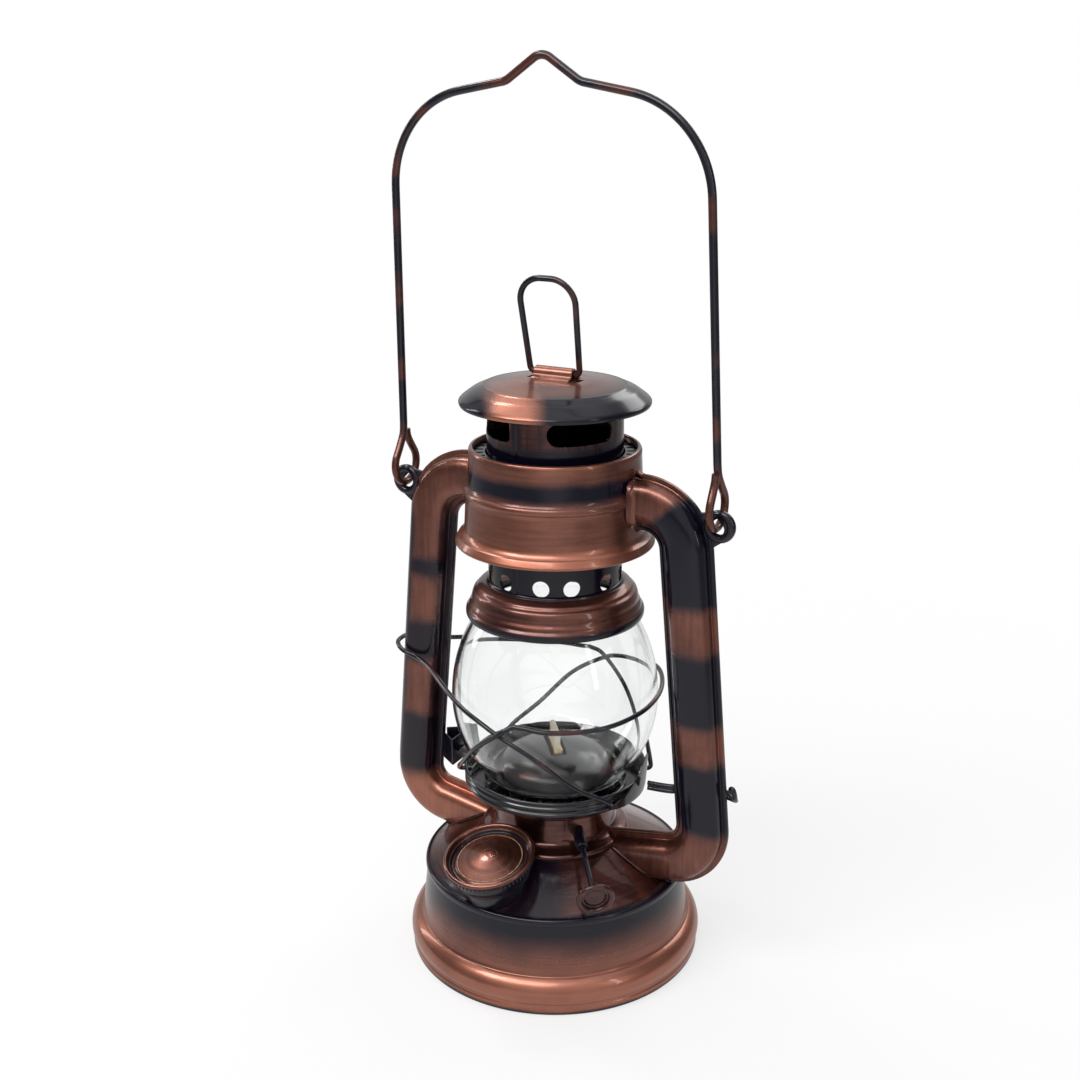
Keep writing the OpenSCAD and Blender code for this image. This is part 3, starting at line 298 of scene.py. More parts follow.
def gloss(name, worn=0.0, colour=None, wornAt=None, rough=0.20):
    f = Finish(name)
    patch = f.climb(f.noise(15, 3.0), 0.50, 0.66) * worn
    if wornAt:
        patch = patch.most(wornAt(f))
    tint = f.blend(patch, colour or lacquerLook["black"], (0.150, 0.052, 0.036))
    return f.close(height=f.noise(1.8, 2.0) + f.noise(0.3, 1.0) * 0.3, lift=0.008,
                   plain={"Coat Roughness": 0.05, "Coat IOR": 1.5},
                   Base_Color=tint, Metallic=patch * 0.8, Roughness=rough + f.noise(3.0, 2.0) * 0.10, Coat_Weight=0.25)


def plainMetal(name, colour, rough):
    f = Finish(name)
    fine = f.noise(0.9, 3.0, stretch=(1, 1, 0.1))
    tint = f.blend(f.noise(5, 3.0), [c * 0.75 for c in colour], colour)
    return f.close(height=fine, lift=0.01, Base_Color=tint, Metallic=1.0, Roughness=rough + fine * 0.18)


def clearGlass():
    f = Finish("clearGlass")
    wave = f.noise(22, 1.0)
    return f.close(height=wave, lift=0.05, plain={"Transmission Weight": 1.0, "IOR": 1.45},
                   Base_Color=(0.985, 0.995, 0.992, 1.0), Roughness=0.0)


def cottonTape():
    f = Finish("cottonTape")
    turn = math.radians(-51.8)
    along = (f.x * math.cos(turn) + f.y * math.sin(turn)) * 9.0
    weft = f.calc("SINE", f.z * 9.0)
    warp = f.calc("SINE", along)
    weave = weft * warp * 0.5 + 0.5
    burnt = f.climb(f.z + f.noise(0.8, 2.0) * 0.5, 65.1, 65.8)
    tint = f.blend(burnt * 0.25, f.blend(weave, (0.70, 0.62, 0.47), (0.90, 0.85, 0.74)), (0.25, 0.19, 0.13))
    return f.close(height=weave, lift=0.12, Base_Color=tint, Roughness=0.9 - weave * 0.05)


def corkRing():
    f = Finish("corkRing")
    pit = f.climb(f.noise(0.7, 4.0), 0.35, 0.6)
    return f.close(height=pit, lift=0.12, Base_Color=f.blend(pit, (0.20, 0.12, 0.07), (0.48, 0.34, 0.21)), Roughness=0.85 - pit * 0.1)


def bandsAt(bands, soft=2.6, wander=5.0):
    def darkAt(f, drift):
        height = f.z + drift * wander
        mask = f.band(height, *bands[0], soft)
        for low, high in bands[1:]:
            mask = mask.most(f.band(height, low, high, soft))
        return mask
    return darkAt


# how far a point lies outside the middle line of its tube's upright part
def tubeOffset(f):
    return abs(f.x) - (44.956 - (f.z - 45.88) * 0.0894) + 0.5


def rightTubeBlack(f, drift):
    low = bandsAt([(44.5, 65.0), (75.0, 97.0), (107.5, 190.0)])(f, drift)
    flank = (1 - f.climb(tubeOffset(f) + drift, -5.4, -3.2)) * f.band(f.z, 48.0, 119.0, 4.0) * 0.75
    elbow = f.climb(f.x - (f.z - 122) * 1.3 + drift * 6, 14.5, 20.5)
    return (low * elbow).most(flank)


def leftTubeBlack(f, drift):
    low = bandsAt([(42.5, 62.5), (78.5, 92.0), (104.0, 111.0)])(f, drift) * 0.97
    flank = f.climb(abs(tubeOffset(f) + drift * 2), 2.4, 5.0) * f.band(f.z, 50.0, 126.0, 5.0) * 0.94
    return low.most(flank)


def tankBlackAndFootShade(f, drift):
    high = f.climb(f.z + drift * 4, 7.5, 22.5)
    # painted shade: the foot's lowest edge painted dark, beside the black lacquer climbing the wall
    return high.most(1 - f.climb(f.z + drift, 0.6, 2.0))


# the brim's copper patch, and the browner plate round the ring's bridge
def capBlack(f, drift):
    side = f.across + drift * 5
    patch = f.climb(side, -19.0, -14.0) * (1 - f.climb(side, -8.0, -1.0)) * f.climb(f.ahead, -8.0, 4.0)
    bridge = (1 - f.climb(abs(f.x) + drift * 6, 5.0, 14.0)) * (1 - f.climb(abs(f.y) + drift * 6, 2.5, 11.0))
    reach = f.calc("SQRT", f.x * f.x + f.y * f.y)
    brown = (1 - f.climb(reach + drift * 3, 13.0, 20.5)) * 0.34
    return 1 - patch.most(bridge * 0.85).most(brown) * 0.97


def tankTopBlack(f, drift):
    side = f.across + drift * 8
    reach = f.calc("SQRT", f.x * f.x + f.y * f.y)
    front = f.band(side, -60.0, 4.0, 6.0) * f.climb(f.ahead, 8.0, 20.0)
    return (front * 0.96).most(f.climb(reach + drift * 2, 34.3, 35.8)) * 0.98


# height and reach in the filler cap's own leaning frame
def fillerLocal(f):
    x, y, z = f.x + 3.79, f.y + 30.87, f.z - 40
    high = x * -0.0315 + y * -0.2569 + z * 0.9659
    return high, f.calc("SQRT", (x * x + y * y + z * z - high * high).most(0.0))


def fillerBlackAndGrooveShade(f, drift):
    high, reach = fillerLocal(f)
    side = 1 - f.climb(high + drift * 0.5, -1.75, -0.95)
    # painted shade: the groove between the face and the rim painted dark all round
    grooveShade = f.band(reach + drift, 9.7, 10.9, 0.35)
    return (side * f.climb(reach, 10.4, 11.2)).most(grooveShade * 0.95).most(1 - f.climb(high, -3.2, -2.6))


def chimneyBlack(f, drift):
    drips = f.climb(f.noise(2.2, 3.0, stretch=(1, 1, 0.06)), 0.34, 0.62) * 0.92
    return bandsAt([(108.0, 149.6), (158.5, 170.0)], 1.6, 1.5)(f, drift).most(drips)


def hoodBlackAndSideShade(f, drift):
    band = bandsAt([(136.1, 142.2)], 2.0, 2.0)(f, drift)
    # painted shade: the hood darkened towards both sides as seen from the front, beside its real black band
    side = f.climb(abs(f.across + 2) + drift * 4, 17.0, 25.0) * 0.55
    return band.most(side)


def eyeWorn(f):
    return (1 - f.climb(f.z, 141.0, 149.0)) * 0.8


finishes = {
    "rightTube": lacquer("lacquerRightTube", rightTubeBlack, 0.34, spun=False),
    # left tube: its lower bend painted brighter, a painted highlight
    "leftTube": lacquer("lacquerLeftTube", leftTubeBlack, 0.36, spun=False, paintedHighlightAt=lambda f, drift: f.climb(-f.z, -48.0, -38.0) * 0.45),
    # tank wall: the bead and lower wall painted brighter, a painted highlight
    "tankWall": lacquer("lacquerTankWall", tankBlackAndFootShade, 0.60, paintedHighlightAt=lambda f, drift: f.climb(-f.z, -11.0, -8.0) * 0.30),
    "tankTop": lacquer("lacquerTankTop", tankTopBlack, 0.10, 0.24),
    "chamber": lacquer("lacquerChamber", bandsAt([(90.0, 95.0)]), 0.10, 0.24),
    # hood: the flared skirt painted brighter, a painted highlight; its sides painted darker, painted shade
    "hood": lacquer("lacquerHood", hoodBlackAndSideShade, 0.54, paintedHighlightAt=lambda f, drift: f.climb(-f.z, -126.5, -123.0) * 0.45),
    "hoodTop": lacquer("lacquerHoodTop", bandsAt([(140.0, 150.0)]), 0.40),
    "chimney": lacquer("lacquerChimney", chimneyBlack, 0.16),
    "bell": lacquer("lacquerBell", bandsAt([(109.3, 115.0), (90.0, 102.0)], 0.9, 1.0), 0.20),
    # cap: the brim painted brighter towards the front, a painted highlight
    "cap": lacquer("lacquerCap", capBlack, 0.70, paintedHighlightAt=lambda f, drift: f.climb(f.ahead, 6.0, 16.0) * 0.35),
    "fillerCap": lacquer("lacquerFillerCap", fillerBlackAndGrooveShade, 0.27, 0.26, local=fillerLocal),
    "knob": lacquer("lacquerKnob", lambda f, drift: 0.30 + f.climb(drift, -0.2, 0.2) * 0.3, 0.12, 0.24),
    "wire": gloss("blackWire", 0.45),
    "bailWire": gloss("blackBailWire", 0.75, wornAt=eyeWorn),
    "black": gloss("blackGloss", 0.12),
    "plate": gloss("blackPlate", 0.0, (0.010, 0.010, 0.013), rough=0.10),
    "dome": gloss("blackDome", 0.0, (0.028, 0.026, 0.029), rough=0.26),
    "brass": plainMetal("plainBrass", (0.72, 0.52, 0.25), 0.22),
    "steel": plainMetal("plainSteel", (0.52, 0.52, 0.53), 0.30),
    "glass": clearGlass(),
    "cotton": cottonTape(),
    "cork": corkRing()}
print("lantern:", len(finishes), "finishes mixed")


# ---- mesh tools, all in mm

def makeObject(name, points, faces, edges=()):
    mesh = bpy.data.meshes.new(name)
    mesh.from_pydata([Vector(p) * mm for p in points], list(edges), faces)
    piece = bpy.data.objects.new(name, mesh)
    bpy.context.collection.objects.link(piece)
    return piece


def cleanMesh(piece, sharp=40.0):
    soft = bmesh.new()
    soft.from_mesh(piece.data)
    bmesh.ops.remove_doubles(soft, verts=soft.verts, dist=2e-6)
    bmesh.ops.dissolve_degenerate(soft, dist=1e-7, edges=soft.edges)
    bmesh.ops.recalc_face_normals(soft, faces=soft.faces)
    soft.to_mesh(piece.data)
    soft.free()
    piece.data.shade_smooth()
    piece.data.set_sharp_from_angle(angle=math.radians(sharp))


def settle(piece, body, slot, finish, *nodes, sharp=40.0):
    cleanMesh(piece, sharp)
    piece.data.materials.clear()
    piece.data.materials.append(finishes[finish])
    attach(piece, body)
    if nodes:
        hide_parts(*nodes)
    return piece


def softLine(points, bend, steps=4):
    points = [Vector(p) for p in points]
    out = [points[0]]
    for a, b, c in zip(points, points[1:], points[2:]):
        inTo, outOf = (b - a), (c - b)
        cut = min(bend, 0.42 * inTo.length, 0.42 * outOf.length)
        start, end = b - inTo.normalized() * cut, b + outOf.normalized() * cut
        for k in range(steps + 1):
            t = k / steps
            out.append(start * (1 - t) ** 2 + b * 2 * t * (1 - t) + end * t * t)
    return out + [points[-1]]


def arcLine(cx, cz, radius, first, last, steps=16):
    turns = [math.radians(first + (last - first) * k / steps) for k in range(steps + 1)]
    return [(cx + radius * math.cos(a), cz + radius * math.sin(a)) for a in turns]


def shiftLine(points, t):
    side = []
    for a, b in zip(points, points[1:]):
        d = (b - a).normalized()
        side.append(Vector((-d.y, d.x)))
    out = []
    for k, p in enumerate(points):
        n1, n2 = side[max(k - 1, 0)], side[min(k, len(side) - 1)]
        out.append(p + (n1 + n2) * (t / (1 + max(n1.dot(n2), -0.5))))
    return out


def lip(a, b, tangent):
    if a.x < 1e-6:
        return []
    size = (b - a).length
    return [a.lerp(b, s) + tangent * size * 0.45 * math.sin(math.pi * s) for s in (0.15, 0.35, 0.65, 0.85)]


def sheetLoop(outline, sheet):
    inner = shiftLine(outline, sheet)
    top = (outline[-1] - outline[-2]).normalized()
    low = (outline[0] - outline[1]).normalized()
    return outline + lip(outline[-1], inner[-1], top) + inner[::-1] + lip(inner[0], outline[0], low)


def spinLoop(name, loop, around=168, place=None):
    count = len(loop)
    points, faces = [], []
    for k in range(around):
        a = 2 * math.pi * k / around
        points += [(max(p.x, 0) * math.cos(a), max(p.x, 0) * math.sin(a), p.y) for p in loop]
    for k in range(around):
        n = (k + 1) % around
        faces += [(k * count + i, n * count + i, n * count + (i + 1) % count, k * count + (i + 1) % count)
                  for i in range(count)]
    if place is not None:
        points = [place @ Vector(p) for p in points]
    return makeObject(name, points, faces)


def spinSheet(name, outline, sheet, bend=0.6, around=168, place=None):
    return spinLoop(name, sheetLoop(softLine(outline, bend), sheet), around, place)


# closed rings of points joined into a skin, with flat ends unless it is closed
def loft(name, rings, closed=False):
    count = len(rings[0])
    points = [p for ring in rings for p in ring]
    faces = []
    last = len(rings) if closed else len(rings) - 1
    for k in range(last):
        n = (k + 1) % len(rings)
        faces += [(k * count + i, k * count + (i + 1) % count, n * count + (i + 1) % count, n * count + i)
                  for i in range(count)]
    if not closed:
        faces += [tuple(range(count))[::-1], tuple((len(rings) - 1) * count + i for i in range(count))]
    return makeObject(name, points, faces)


def joinPieces(main, *others):
    soft = bmesh.new()
    soft.from_mesh(main.data)
    for other in others:
        soft.from_mesh(other.data)
        bpy.data.objects.remove(other)
    soft.to_mesh(main.data)
    soft.free()
    return main


# a copy of a CAD node with its doubles merged and its edges eased
def easedCopy(name, node, ease=0.15, segments=2):
    piece = bpy.data.objects.new(name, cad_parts[node].data.copy())
    bpy.context.collection.objects.link(piece)
    soft = bmesh.new()
    soft.from_mesh(piece.data)
    bmesh.ops.remove_doubles(soft, verts=soft.verts, dist=1e-6)
    bmesh.ops.dissolve_limit(soft, angle_limit=math.radians(1.5), verts=soft.verts, edges=soft.edges)
    soft.to_mesh(piece.data)
    soft.free()
    if ease:
        rounding = piece.modifiers.new("ease", "BEVEL")
        rounding.width = ease * mm
        rounding.segments = segments
        rounding.limit_method = "ANGLE"
        rounding.angle_limit = math.radians(50)
        mesh = bpy.data.meshes.new_from_object(piece.evaluated_get(bpy.context.evaluated_depsgraph_get()))
        piece.modifiers.clear()
        piece.data = mesh
    return piece


# ---- Geometry Nodes trees

def newTree(name, sockets):
    tree = bpy.data.node_groups.new(name, "GeometryNodeTree")
    tree.interface.new_socket(name="Geometry", in_out="INPUT", socket_type="NodeSocketGeometry")
    for label, kind in sockets:
        tree.interface.new_socket(name=label, in_out="INPUT", socket_type=kind)
    tree.interface.new_socket(name="Geometry", in_out="OUTPUT", socket_type="NodeSocketGeometry")
    graph = Graph(tree)
    enter = tree.nodes.new("NodeGroupInput")
    graph.given = {item.name: Sock(graph, item) for item in enter.outputs if item.name}
    return graph


def endTree(graph, geometry):
    real = graph.put("GeometryNodeRealizeInstances", {}, {0: geometry})
    painted = graph.put("GeometryNodeSetMaterial", {}, {"Geometry": real, "Material": graph.given["Material"]})
    out = graph.tree.nodes.new("NodeGroupOutput")
    graph.tree.links.new(painted.socket, out.inputs[0])
    return graph.tree


# the round wire that follows a bent line
def wireTree():
    g = newTree("bendWire", [("Wire radius", "NodeSocketFloat"), ("Sides", "NodeSocketInt"), ("Material", "NodeSocketMaterial")])
    line = g.put("GeometryNodeMeshToCurve", {}, {0: g.given["Geometry"]})
    ring = g.put("GeometryNodeCurvePrimitiveCircle", {}, {"Resolution": g.given["Sides"], "Radius": g.given["Wire radius"]})
    skin = g.put("GeometryNodeCurveToMesh", {}, {"Curve": line, "Profile Curve": ring, "Fill Caps": True})
    return endTree(g, skin)


# a pressed section that follows a flat line
def sectionTree():
    g = newTree("pressSection", [("Section", "NodeSocketObject"), ("Material", "NodeSocketMaterial")])
    line = g.put("GeometryNodeMeshToCurve", {}, {0: g.given["Geometry"]})
    upright = g.put("GeometryNodeSetCurveNormal", {"mode": "Z_UP"}, {0: line})
    info = g.tree.nodes.new("GeometryNodeObjectInfo")
    g.feed(info.inputs["Object"], g.given["Section"])
    section = g.put("GeometryNodeMeshToCurve", {}, {0: Sock(g, info.outputs["Geometry"])})
    skin = g.put("GeometryNodeCurveToMesh", {}, {"Curve": upright, "Profile Curve": section, "Fill Caps": True})
    return endTree(g, skin)


# a tool repeated round the axis, then cut out of the piece or added to it
def roundTree(name, cut):
    g = newTree(name, [("Tool", "NodeSocketObject"), ("Count", "NodeSocketInt"), ("First", "NodeSocketFloat"),
                       ("Step", "NodeSocketFloat"), ("Material", "NodeSocketMaterial")])
    info = g.tree.nodes.new("GeometryNodeObjectInfo")
    g.feed(info.inputs["Object"], g.given["Tool"])
    spots = g.put("GeometryNodePoints", {}, {"Count": g.given["Count"]})
    number = g.put("GeometryNodeInputIndex")
    turn = (number * g.given["Step"] + g.given["First"]) * (math.pi / 180)
    swing = g.put("ShaderNodeCombineXYZ", {}, {"Z": turn})
    euler = g.put("FunctionNodeEulerToRotation", {}, {0: swing})
    tools = g.put("GeometryNodeInstanceOnPoints", {}, {"Points": spots, "Instance": Sock(g, info.outputs["Geometry"]), "Rotation": euler})
    tools = g.put("GeometryNodeRealizeInstances", {}, {0: tools})
    if cut:
        made = g.put("GeometryNodeMeshBoolean", {"operation": "DIFFERENCE", "solver": "EXACT"}, {"Mesh 1": g.given["Geometry"], "Mesh 2": tools})
    else:
        join = g.tree.nodes.new("GeometryNodeJoinGeometry")
        g.feed(join.inputs[0], tools)
        g.feed(join.inputs[0], g.given["Geometry"])
        made = Sock(g, join.outputs[0])
    return endTree(g, made)


def runTree(piece, tree, values):
    step = piece.modifiers.new("work", "NODES")
    step.node_group = tree
    for item in tree.interface.items_tree:
        if item.in_out == "INPUT" and item.name in values:
            step[item.identifier] = values[item.name]
    bpy.context.view_layer.update()
    mesh = bpy.data.meshes.new_from_object(piece.evaluated_get(bpy.context.evaluated_depsgraph_get()))
    piece.modifiers.remove(step)
    piece.data = mesh
    return piece


trees = {"wire": wireTree(), "section": sectionTree(), "cut": roundTree("cutRound", True), "add": roundTree("addRound", False)}


def lineObject(name, points, closed=False):
    count = len(points)
    edges = [(k, k + 1) for k in range(count - 1)] + ([(count - 1, 0)] if closed else [])
    return makeObject(name, [(*p, 0) if len(p) == 2 else p for p in points], [], edges)


def bendWire(name, points, radius, finish="wire", closed=False, sides=20):
    wire = lineObject(name, points, closed)
    return runTree(wire, trees["wire"], {"Wire radius": radius * mm, "Sides": sides, "Material": finishes[finish]})


def workRound(piece, kind, tool, count, first, step, finish):
    runTree(piece, trees[kind], {"Tool": tool, "Count": count, "First": first, "Step": step, "Material": finishes[finish]})
    return piece


def dropTool(tool):
    bpy.data.objects.remove(tool)


print("lantern: mesh tools and", len(trees), "node trees ready")


# ---- tank

tankLook = {"sheet": 0.6, "around": 200}


def makeTank():
    settle(spinSheet("tankFloor", [(0, 1.8), (37.3, 1.8), (38.5, 0), (40.6, 0), (41.05, 0.5), (41.05, 1.9), (40.7, 2.5), (40.7, 3.3)], tankLook["sheet"], 0.9, tankLook["around"]),
           "lamp_frame", "copper", "tankWall", "tank_floor")
    bead = arcLine(36.5, 5.5, 5.0, -20.0, 62.0, 26)
    wall = [(40.75, 3.1), (41.0, 3.4)] + bead[1:] + [(38.35, 10.1), (37.95, 11.1), (36.48, 24.1), (36.48, 25.6)]
    settle(spinSheet("tankWall", wall, tankLook["sheet"], 0.5, tankLook["around"]), "lamp_frame", "copper", "tankWall", "tank_shell")
    top = [(36.95, 24.7), (37.0, 25.6), (36.85, 26.15), (36.4, 26.45), (35.95, 26.25), (35.2, 26.6), (21.6, 34.6), (20.6, 35.1), (12.6, 35.1), (11.6, 36.1), (11.6, 37.7)]
    settle(spinSheet("tankTop", top, tankLook["sheet"], 0.7, tankLook["around"]), "lamp_frame", "copper_dark", "tankTop", "tank_top")
    chamber = [(20.8, 35.1), (20.8, 35.75), (20.2, 36.3), (18.2, 37.1), (16.9, 38.3), (16.8, 45.2), (17.5, 46.1),
               (20.2, 46.7), (20.5, 47.6), (19.9, 48.5), (18.2, 49.1), (16.8, 49.1)]
    settle(spinSheet("airChamber", chamber, tankLook["sheet"], 0.8), "lamp_frame", "copper", "chamber", "air_chamber")


makeTank()


# ---- filler cap, in its own leaning frame

fillerLook = {"az": -97.0, "lean": 15.0, "rho": 31.1, "z": 40.0, "ribs": 64, "ribHeight": 1.3, "flutes": 30}


def fillerPlace():
    look = fillerLook
    a = math.radians(look["az"])
    return (Matrix.Translation((look["rho"] * math.cos(a), look["rho"] * math.sin(a), look["z"]))
            @ Matrix.Rotation(a, 4, "Z") @ Matrix.Rotation(math.radians(look["lean"]), 4, "Y"))


def makeFiller():
    look = fillerLook
    rim = arcLine(11.85, -0.75, 0.62, -55.0, 178.0, 16)
    outline = [(10.5, -6.6), (10.62, -5.9), (11.2, -4.4), (11.55, -2.5), (11.7, -2.1), (12.05, -1.75)] + rim + \
              [(11.1, -1.35), (10.75, -1.35), (10.5, -2.1), (9.9, -2.1), (9.5, -1.75), (8.2, -1.45), (5.0, -0.78), (2.4, -0.34), (1, -0.22), (0, -0.2)]
    cap = spinSheet("fillerCap", outline, 0.5, 0.35, 192)
    rib = spinLoop("capRib", [Vector(p) for p in ((0.0, -0.65), (0.2, -0.6), (0.27, 0.0), (0.2, 0.6), (0.0, 0.65))], 10,
                   Matrix.Translation((12.1, 0, -2.05)) @ Matrix.Scale(0.8, 4, (1, 0, 0)))
    cleanMesh(rib)
    workRound(cap, "add", rib, look["ribs"], 0.0, 360.0 / look["ribs"], "fillerCap")
    dropTool(rib)
    cap.data.transform(Matrix.Scale(mm, 4) @ fillerPlace() @ Matrix.Scale(1 / mm, 4))
    settle(cap, "filler_cap", "copper_dark", "fillerCap", "filler_cap")
    settle(easedCopy("fillerNeck", "filler_neck", 0.1), "lamp_frame", "black_lacquer", "black", "filler_neck")
    settle(easedCopy("fillerGasket", "filler_gasket", 0.1), "cap_gasket", "cork", "cork", "filler_gasket")


makeFiller()
print("lantern: tank and filler made")


# ---- air tubes: two pressed halves on each side

tubeLook = {"halfWidth": 5.6, "halfDepth": 4.9, "square": 3.2, "shift": -0.4, "inner": 1.4, "outer": 2.2, "hem": 0.42, "sheet": 0.5, "seam": 0.03,
            "head": (25.8, 122.0, 12.3), "foot": (34.0, 44.9, 11.0), "splay": 5.11, "dip": 10.0, "start": 22.9, "end": 15.2}


earLook = {"x": 46.75, "z": 130.75, "reach": 3.2, "thick": 1.15}


def squircle(a, b, power, steps):
    out = []
    for k in range(1, steps):
        t = math.pi * k / steps
        c, s = math.cos(t), math.sin(t)
        out.append((-a * math.copysign(abs(c) ** (2 / power), c), b * abs(s) ** (2 / power)))
    return out


# the outside of one pressed half: a boxy hollow, a narrow flange inside and a wide hemmed one outside
def tubeOutline(grow=0.0):
    look = tubeLook
    a, b, t, gap, mid = look["halfWidth"] + grow, look["halfDepth"] + grow, look["sheet"], look["seam"], look["shift"]
    near, far, top = mid - a - look["inner"], mid + a + look["outer"], t + look["hem"]
    left = [(near + 0.08, gap), (near, gap + 0.1), (near, t - 0.1), (near + 0.1, t), (mid - a - 0.2, t), (mid - a - 0.02, t + 0.15)]
    right = [(mid + a + 0.02, t + 0.15), (mid + a + 0.2, t), (far - 1.0, t), (far - 0.88, top - 0.3), (far - 0.76, top - 0.1), (far - 0.42, top),
             (far - 0.12, top - 0.08), (far, top - 0.3), (far, gap + 0.1), (far - 0.08, gap)]
    return left + [(u + mid, v) for u, v in squircle(a, b, look["square"], 34)] + right


def tubeSection():
    look = tubeLook
    a, t, gap, mid = look["halfWidth"] - look["sheet"], look["sheet"], look["seam"], look["shift"]
    inner = [(u + mid, v) for u, v in squircle(a, look["halfDepth"] - t, look["square"], 34)]
    return tubeOutline() + [(mid + a, gap)] + inner[::-1] + [(mid - a, gap)]


def tubeLine():
    look = tubeLook
    hx, hz, hr = look["head"]
    fx, fz, fr = look["foot"]
    line = [(look["start"], hz + hr)] + arcLine(hx, hz, hr, 90.0, look["splay"], 26)
    line += arcLine(fx, fz, fr, look["splay"], look["dip"] - 90.0, 26)
    x, z = line[-1]
    line.append((look["end"], z - (x - look["end"]) * math.tan(math.radians(look["dip"]))))
    return line


# the soldered fold round each tube's foot, where it meets the tank's cone
def makeFolds():
    (x0, z0), (x1, z1) = tubeLine()[-2:]
    turn = math.radians(tubeLook["dip"] - 90.0)
    outline = tubeOutline()[2:-2]
    ring = []
    for u, v in outline + [(p, -q) for p, q in outline[::-1]]:
        low, high = -0.6, 1.0
        for step in range(30):
            t = (low + high) / 2
            x, z = x0 + (x1 - x0) * t + math.cos(turn) * u, z0 + (z1 - z0) * t + math.sin(turn) * u
            inside = z < 35.1 - max(math.hypot(x, v) - 21.0, 0) * 0.5775
            low, high = (low, t) if inside else (t, high)
        ring.append(Vector((x, v, z)))
    for name, side in (("footFoldRight", 1), ("footFoldLeft", -1)):
        line = [Vector((p.x * side, p.y, p.z + 0.1)) for p in ring]
        settle(bendWire(name, line, 0.42, "tankTop", closed=True, sides=10), "lamp_frame", "copper_dark", "tankTop", sharp=80)


def makeTubes():
    look = tubeLook
    section = lineObject("tubeSection", tubeSection(), closed=True)
    half = lineObject("tubeHalf", tubeLine())
    runTree(half, trees["section"], {"Section": section, "Material": finishes["rightTube"]})
    dropTool(section)
    # flared collar against the hood
    hx, hz, hr = look["head"]
    rings = []
    for x, grow in ((25.6, 0.05), (25.1, 0.18), (24.55, 0.55), (24.25, 0.95), (23.5, 1.0)):
        rings.append([Vector((x, hz + hr + u, -max(v, look["seam"]))) for u, v in tubeOutline(grow)])
    collar = loft("tubeCollar", rings)
    cleanMesh(collar)
    joinPieces(half, collar)
    flat = Matrix(((1, 0, 0, 0), (0, 0, -1, 0), (0, 1, 0, 0), (0, 0, 0, 1)))
    half.data.transform(flat)
    if sum(v.co.y for v in half.data.vertices) > 0:
        half.data.transform(Matrix.Scale(-1, 4, (0, 1, 0)))
    for name, node, flipX, flipY, finish in (
            ("tubeRightFront", "tube_right_front", 1, 1, "rightTube"), ("tubeRightBack", "tube_right_back", 1, -1, "rightTube"),
            ("tubeLeftFront", "tube_left_front", -1, 1, "leftTube"), ("tubeLeftBack", "tube_left_back", -1, -1, "leftTube")):
        piece = bpy.data.objects.new(name, half.data.copy())
        bpy.context.collection.objects.link(piece)
        piece.data.transform(Matrix.Diagonal((flipX, flipY, 1, 1)))
        settle(piece, "lamp_frame", "copper_dark", finish, node, sharp=35)
    bpy.data.objects.remove(half)
    makeFolds()
    for side in ("right", "left"):
        settle(easedCopy("ear" + side.capitalize(), "ear_" + side, 0.32, 3), "lamp_frame", "black_lacquer", "black", "ear_" + side)
        around = [math.radians(10 * k) for k in range(36)]
        x0, z0, reach, thick = earLook["x"], earLook["z"], earLook["reach"], earLook["thick"]
        rim = [Vector(((x0 + reach * math.cos(a)) * (1 if side == "right" else -1), 0, z0 + reach * math.sin(a))) for a in around]
        settle(bendWire("earRim" + side.capitalize(), rim, thick, "black", closed=True), "lamp_frame", "black_lacquer", "black", sharp=80)


makeTubes()
print("lantern: air tubes made")


# ---- hood

hoodLook = {"sheet": 0.5, "louvres": 36, "louvre": (18.95, 21.75, 1.15)}


def boxTool(name, low, high):
    corners = [(x, y, z) for x in (low[0], high[0]) for y in (low[1], high[1]) for z in (low[2], high[2])]
    faces = [(0, 1, 3, 2), (4, 6, 7, 5), (0, 4, 5, 1), (2, 3, 7, 6), (0, 2, 6, 4), (1, 5, 7, 3)]
    return makeObject(name, corners, faces)


def makeHood():
    look = hoodLook
    outline = [(26.7, 120.6), (26.65, 121.0)] + arcLine(26.9, 125.0, 2.72, 246.0, 182.0, 12) + [(23.75, 132.6)] + \
        arcLine(23.05, 134.6, 1.28, -50.0, 62.0, 12) + [(23.2, 136.5), (22.85, 143.6), (22.85, 145.5), (22.55, 146.2), (22.0, 146.4)]
    settle(spinSheet("hood", outline, look["sheet"], 0.4, 192), "lamp_frame", "copper", "hood", "hood")
    disc = spinLoop("hoodTop", [Vector(p) for p in ((18.4, 144.45), (18.45, 144.4), (22.3, 144.4), (22.3, 144.9), (18.45, 144.9), (18.4, 144.85))], 144)
    cleanMesh(disc)
    inner, outer, width = look["louvre"]
    tool = boxTool("louvreTool", (inner, -width / 2, 142), (outer, width / 2, 147))
    workRound(disc, "cut", tool, look["louvres"], 5.0, 360.0 / look["louvres"], "hoodTop")
    dropTool(tool)
    settle(disc, "lamp_frame", "copper_dark", "hoodTop", "hood_top", sharp=30)


makeHood()


# ---- chimney: tube, bell and cap

chimneyLook = {"radius": 18.0, "sheet": 0.5, "slotZ": 153.1, "slotH": 5.9, "slotSweep": 60.0, "slotFirst": -39.0,
               "holeZ": 112.3, "hole": 4.5, "holeFirst": -61.0, "holePair": 26.0, "seamAt": -98.0}


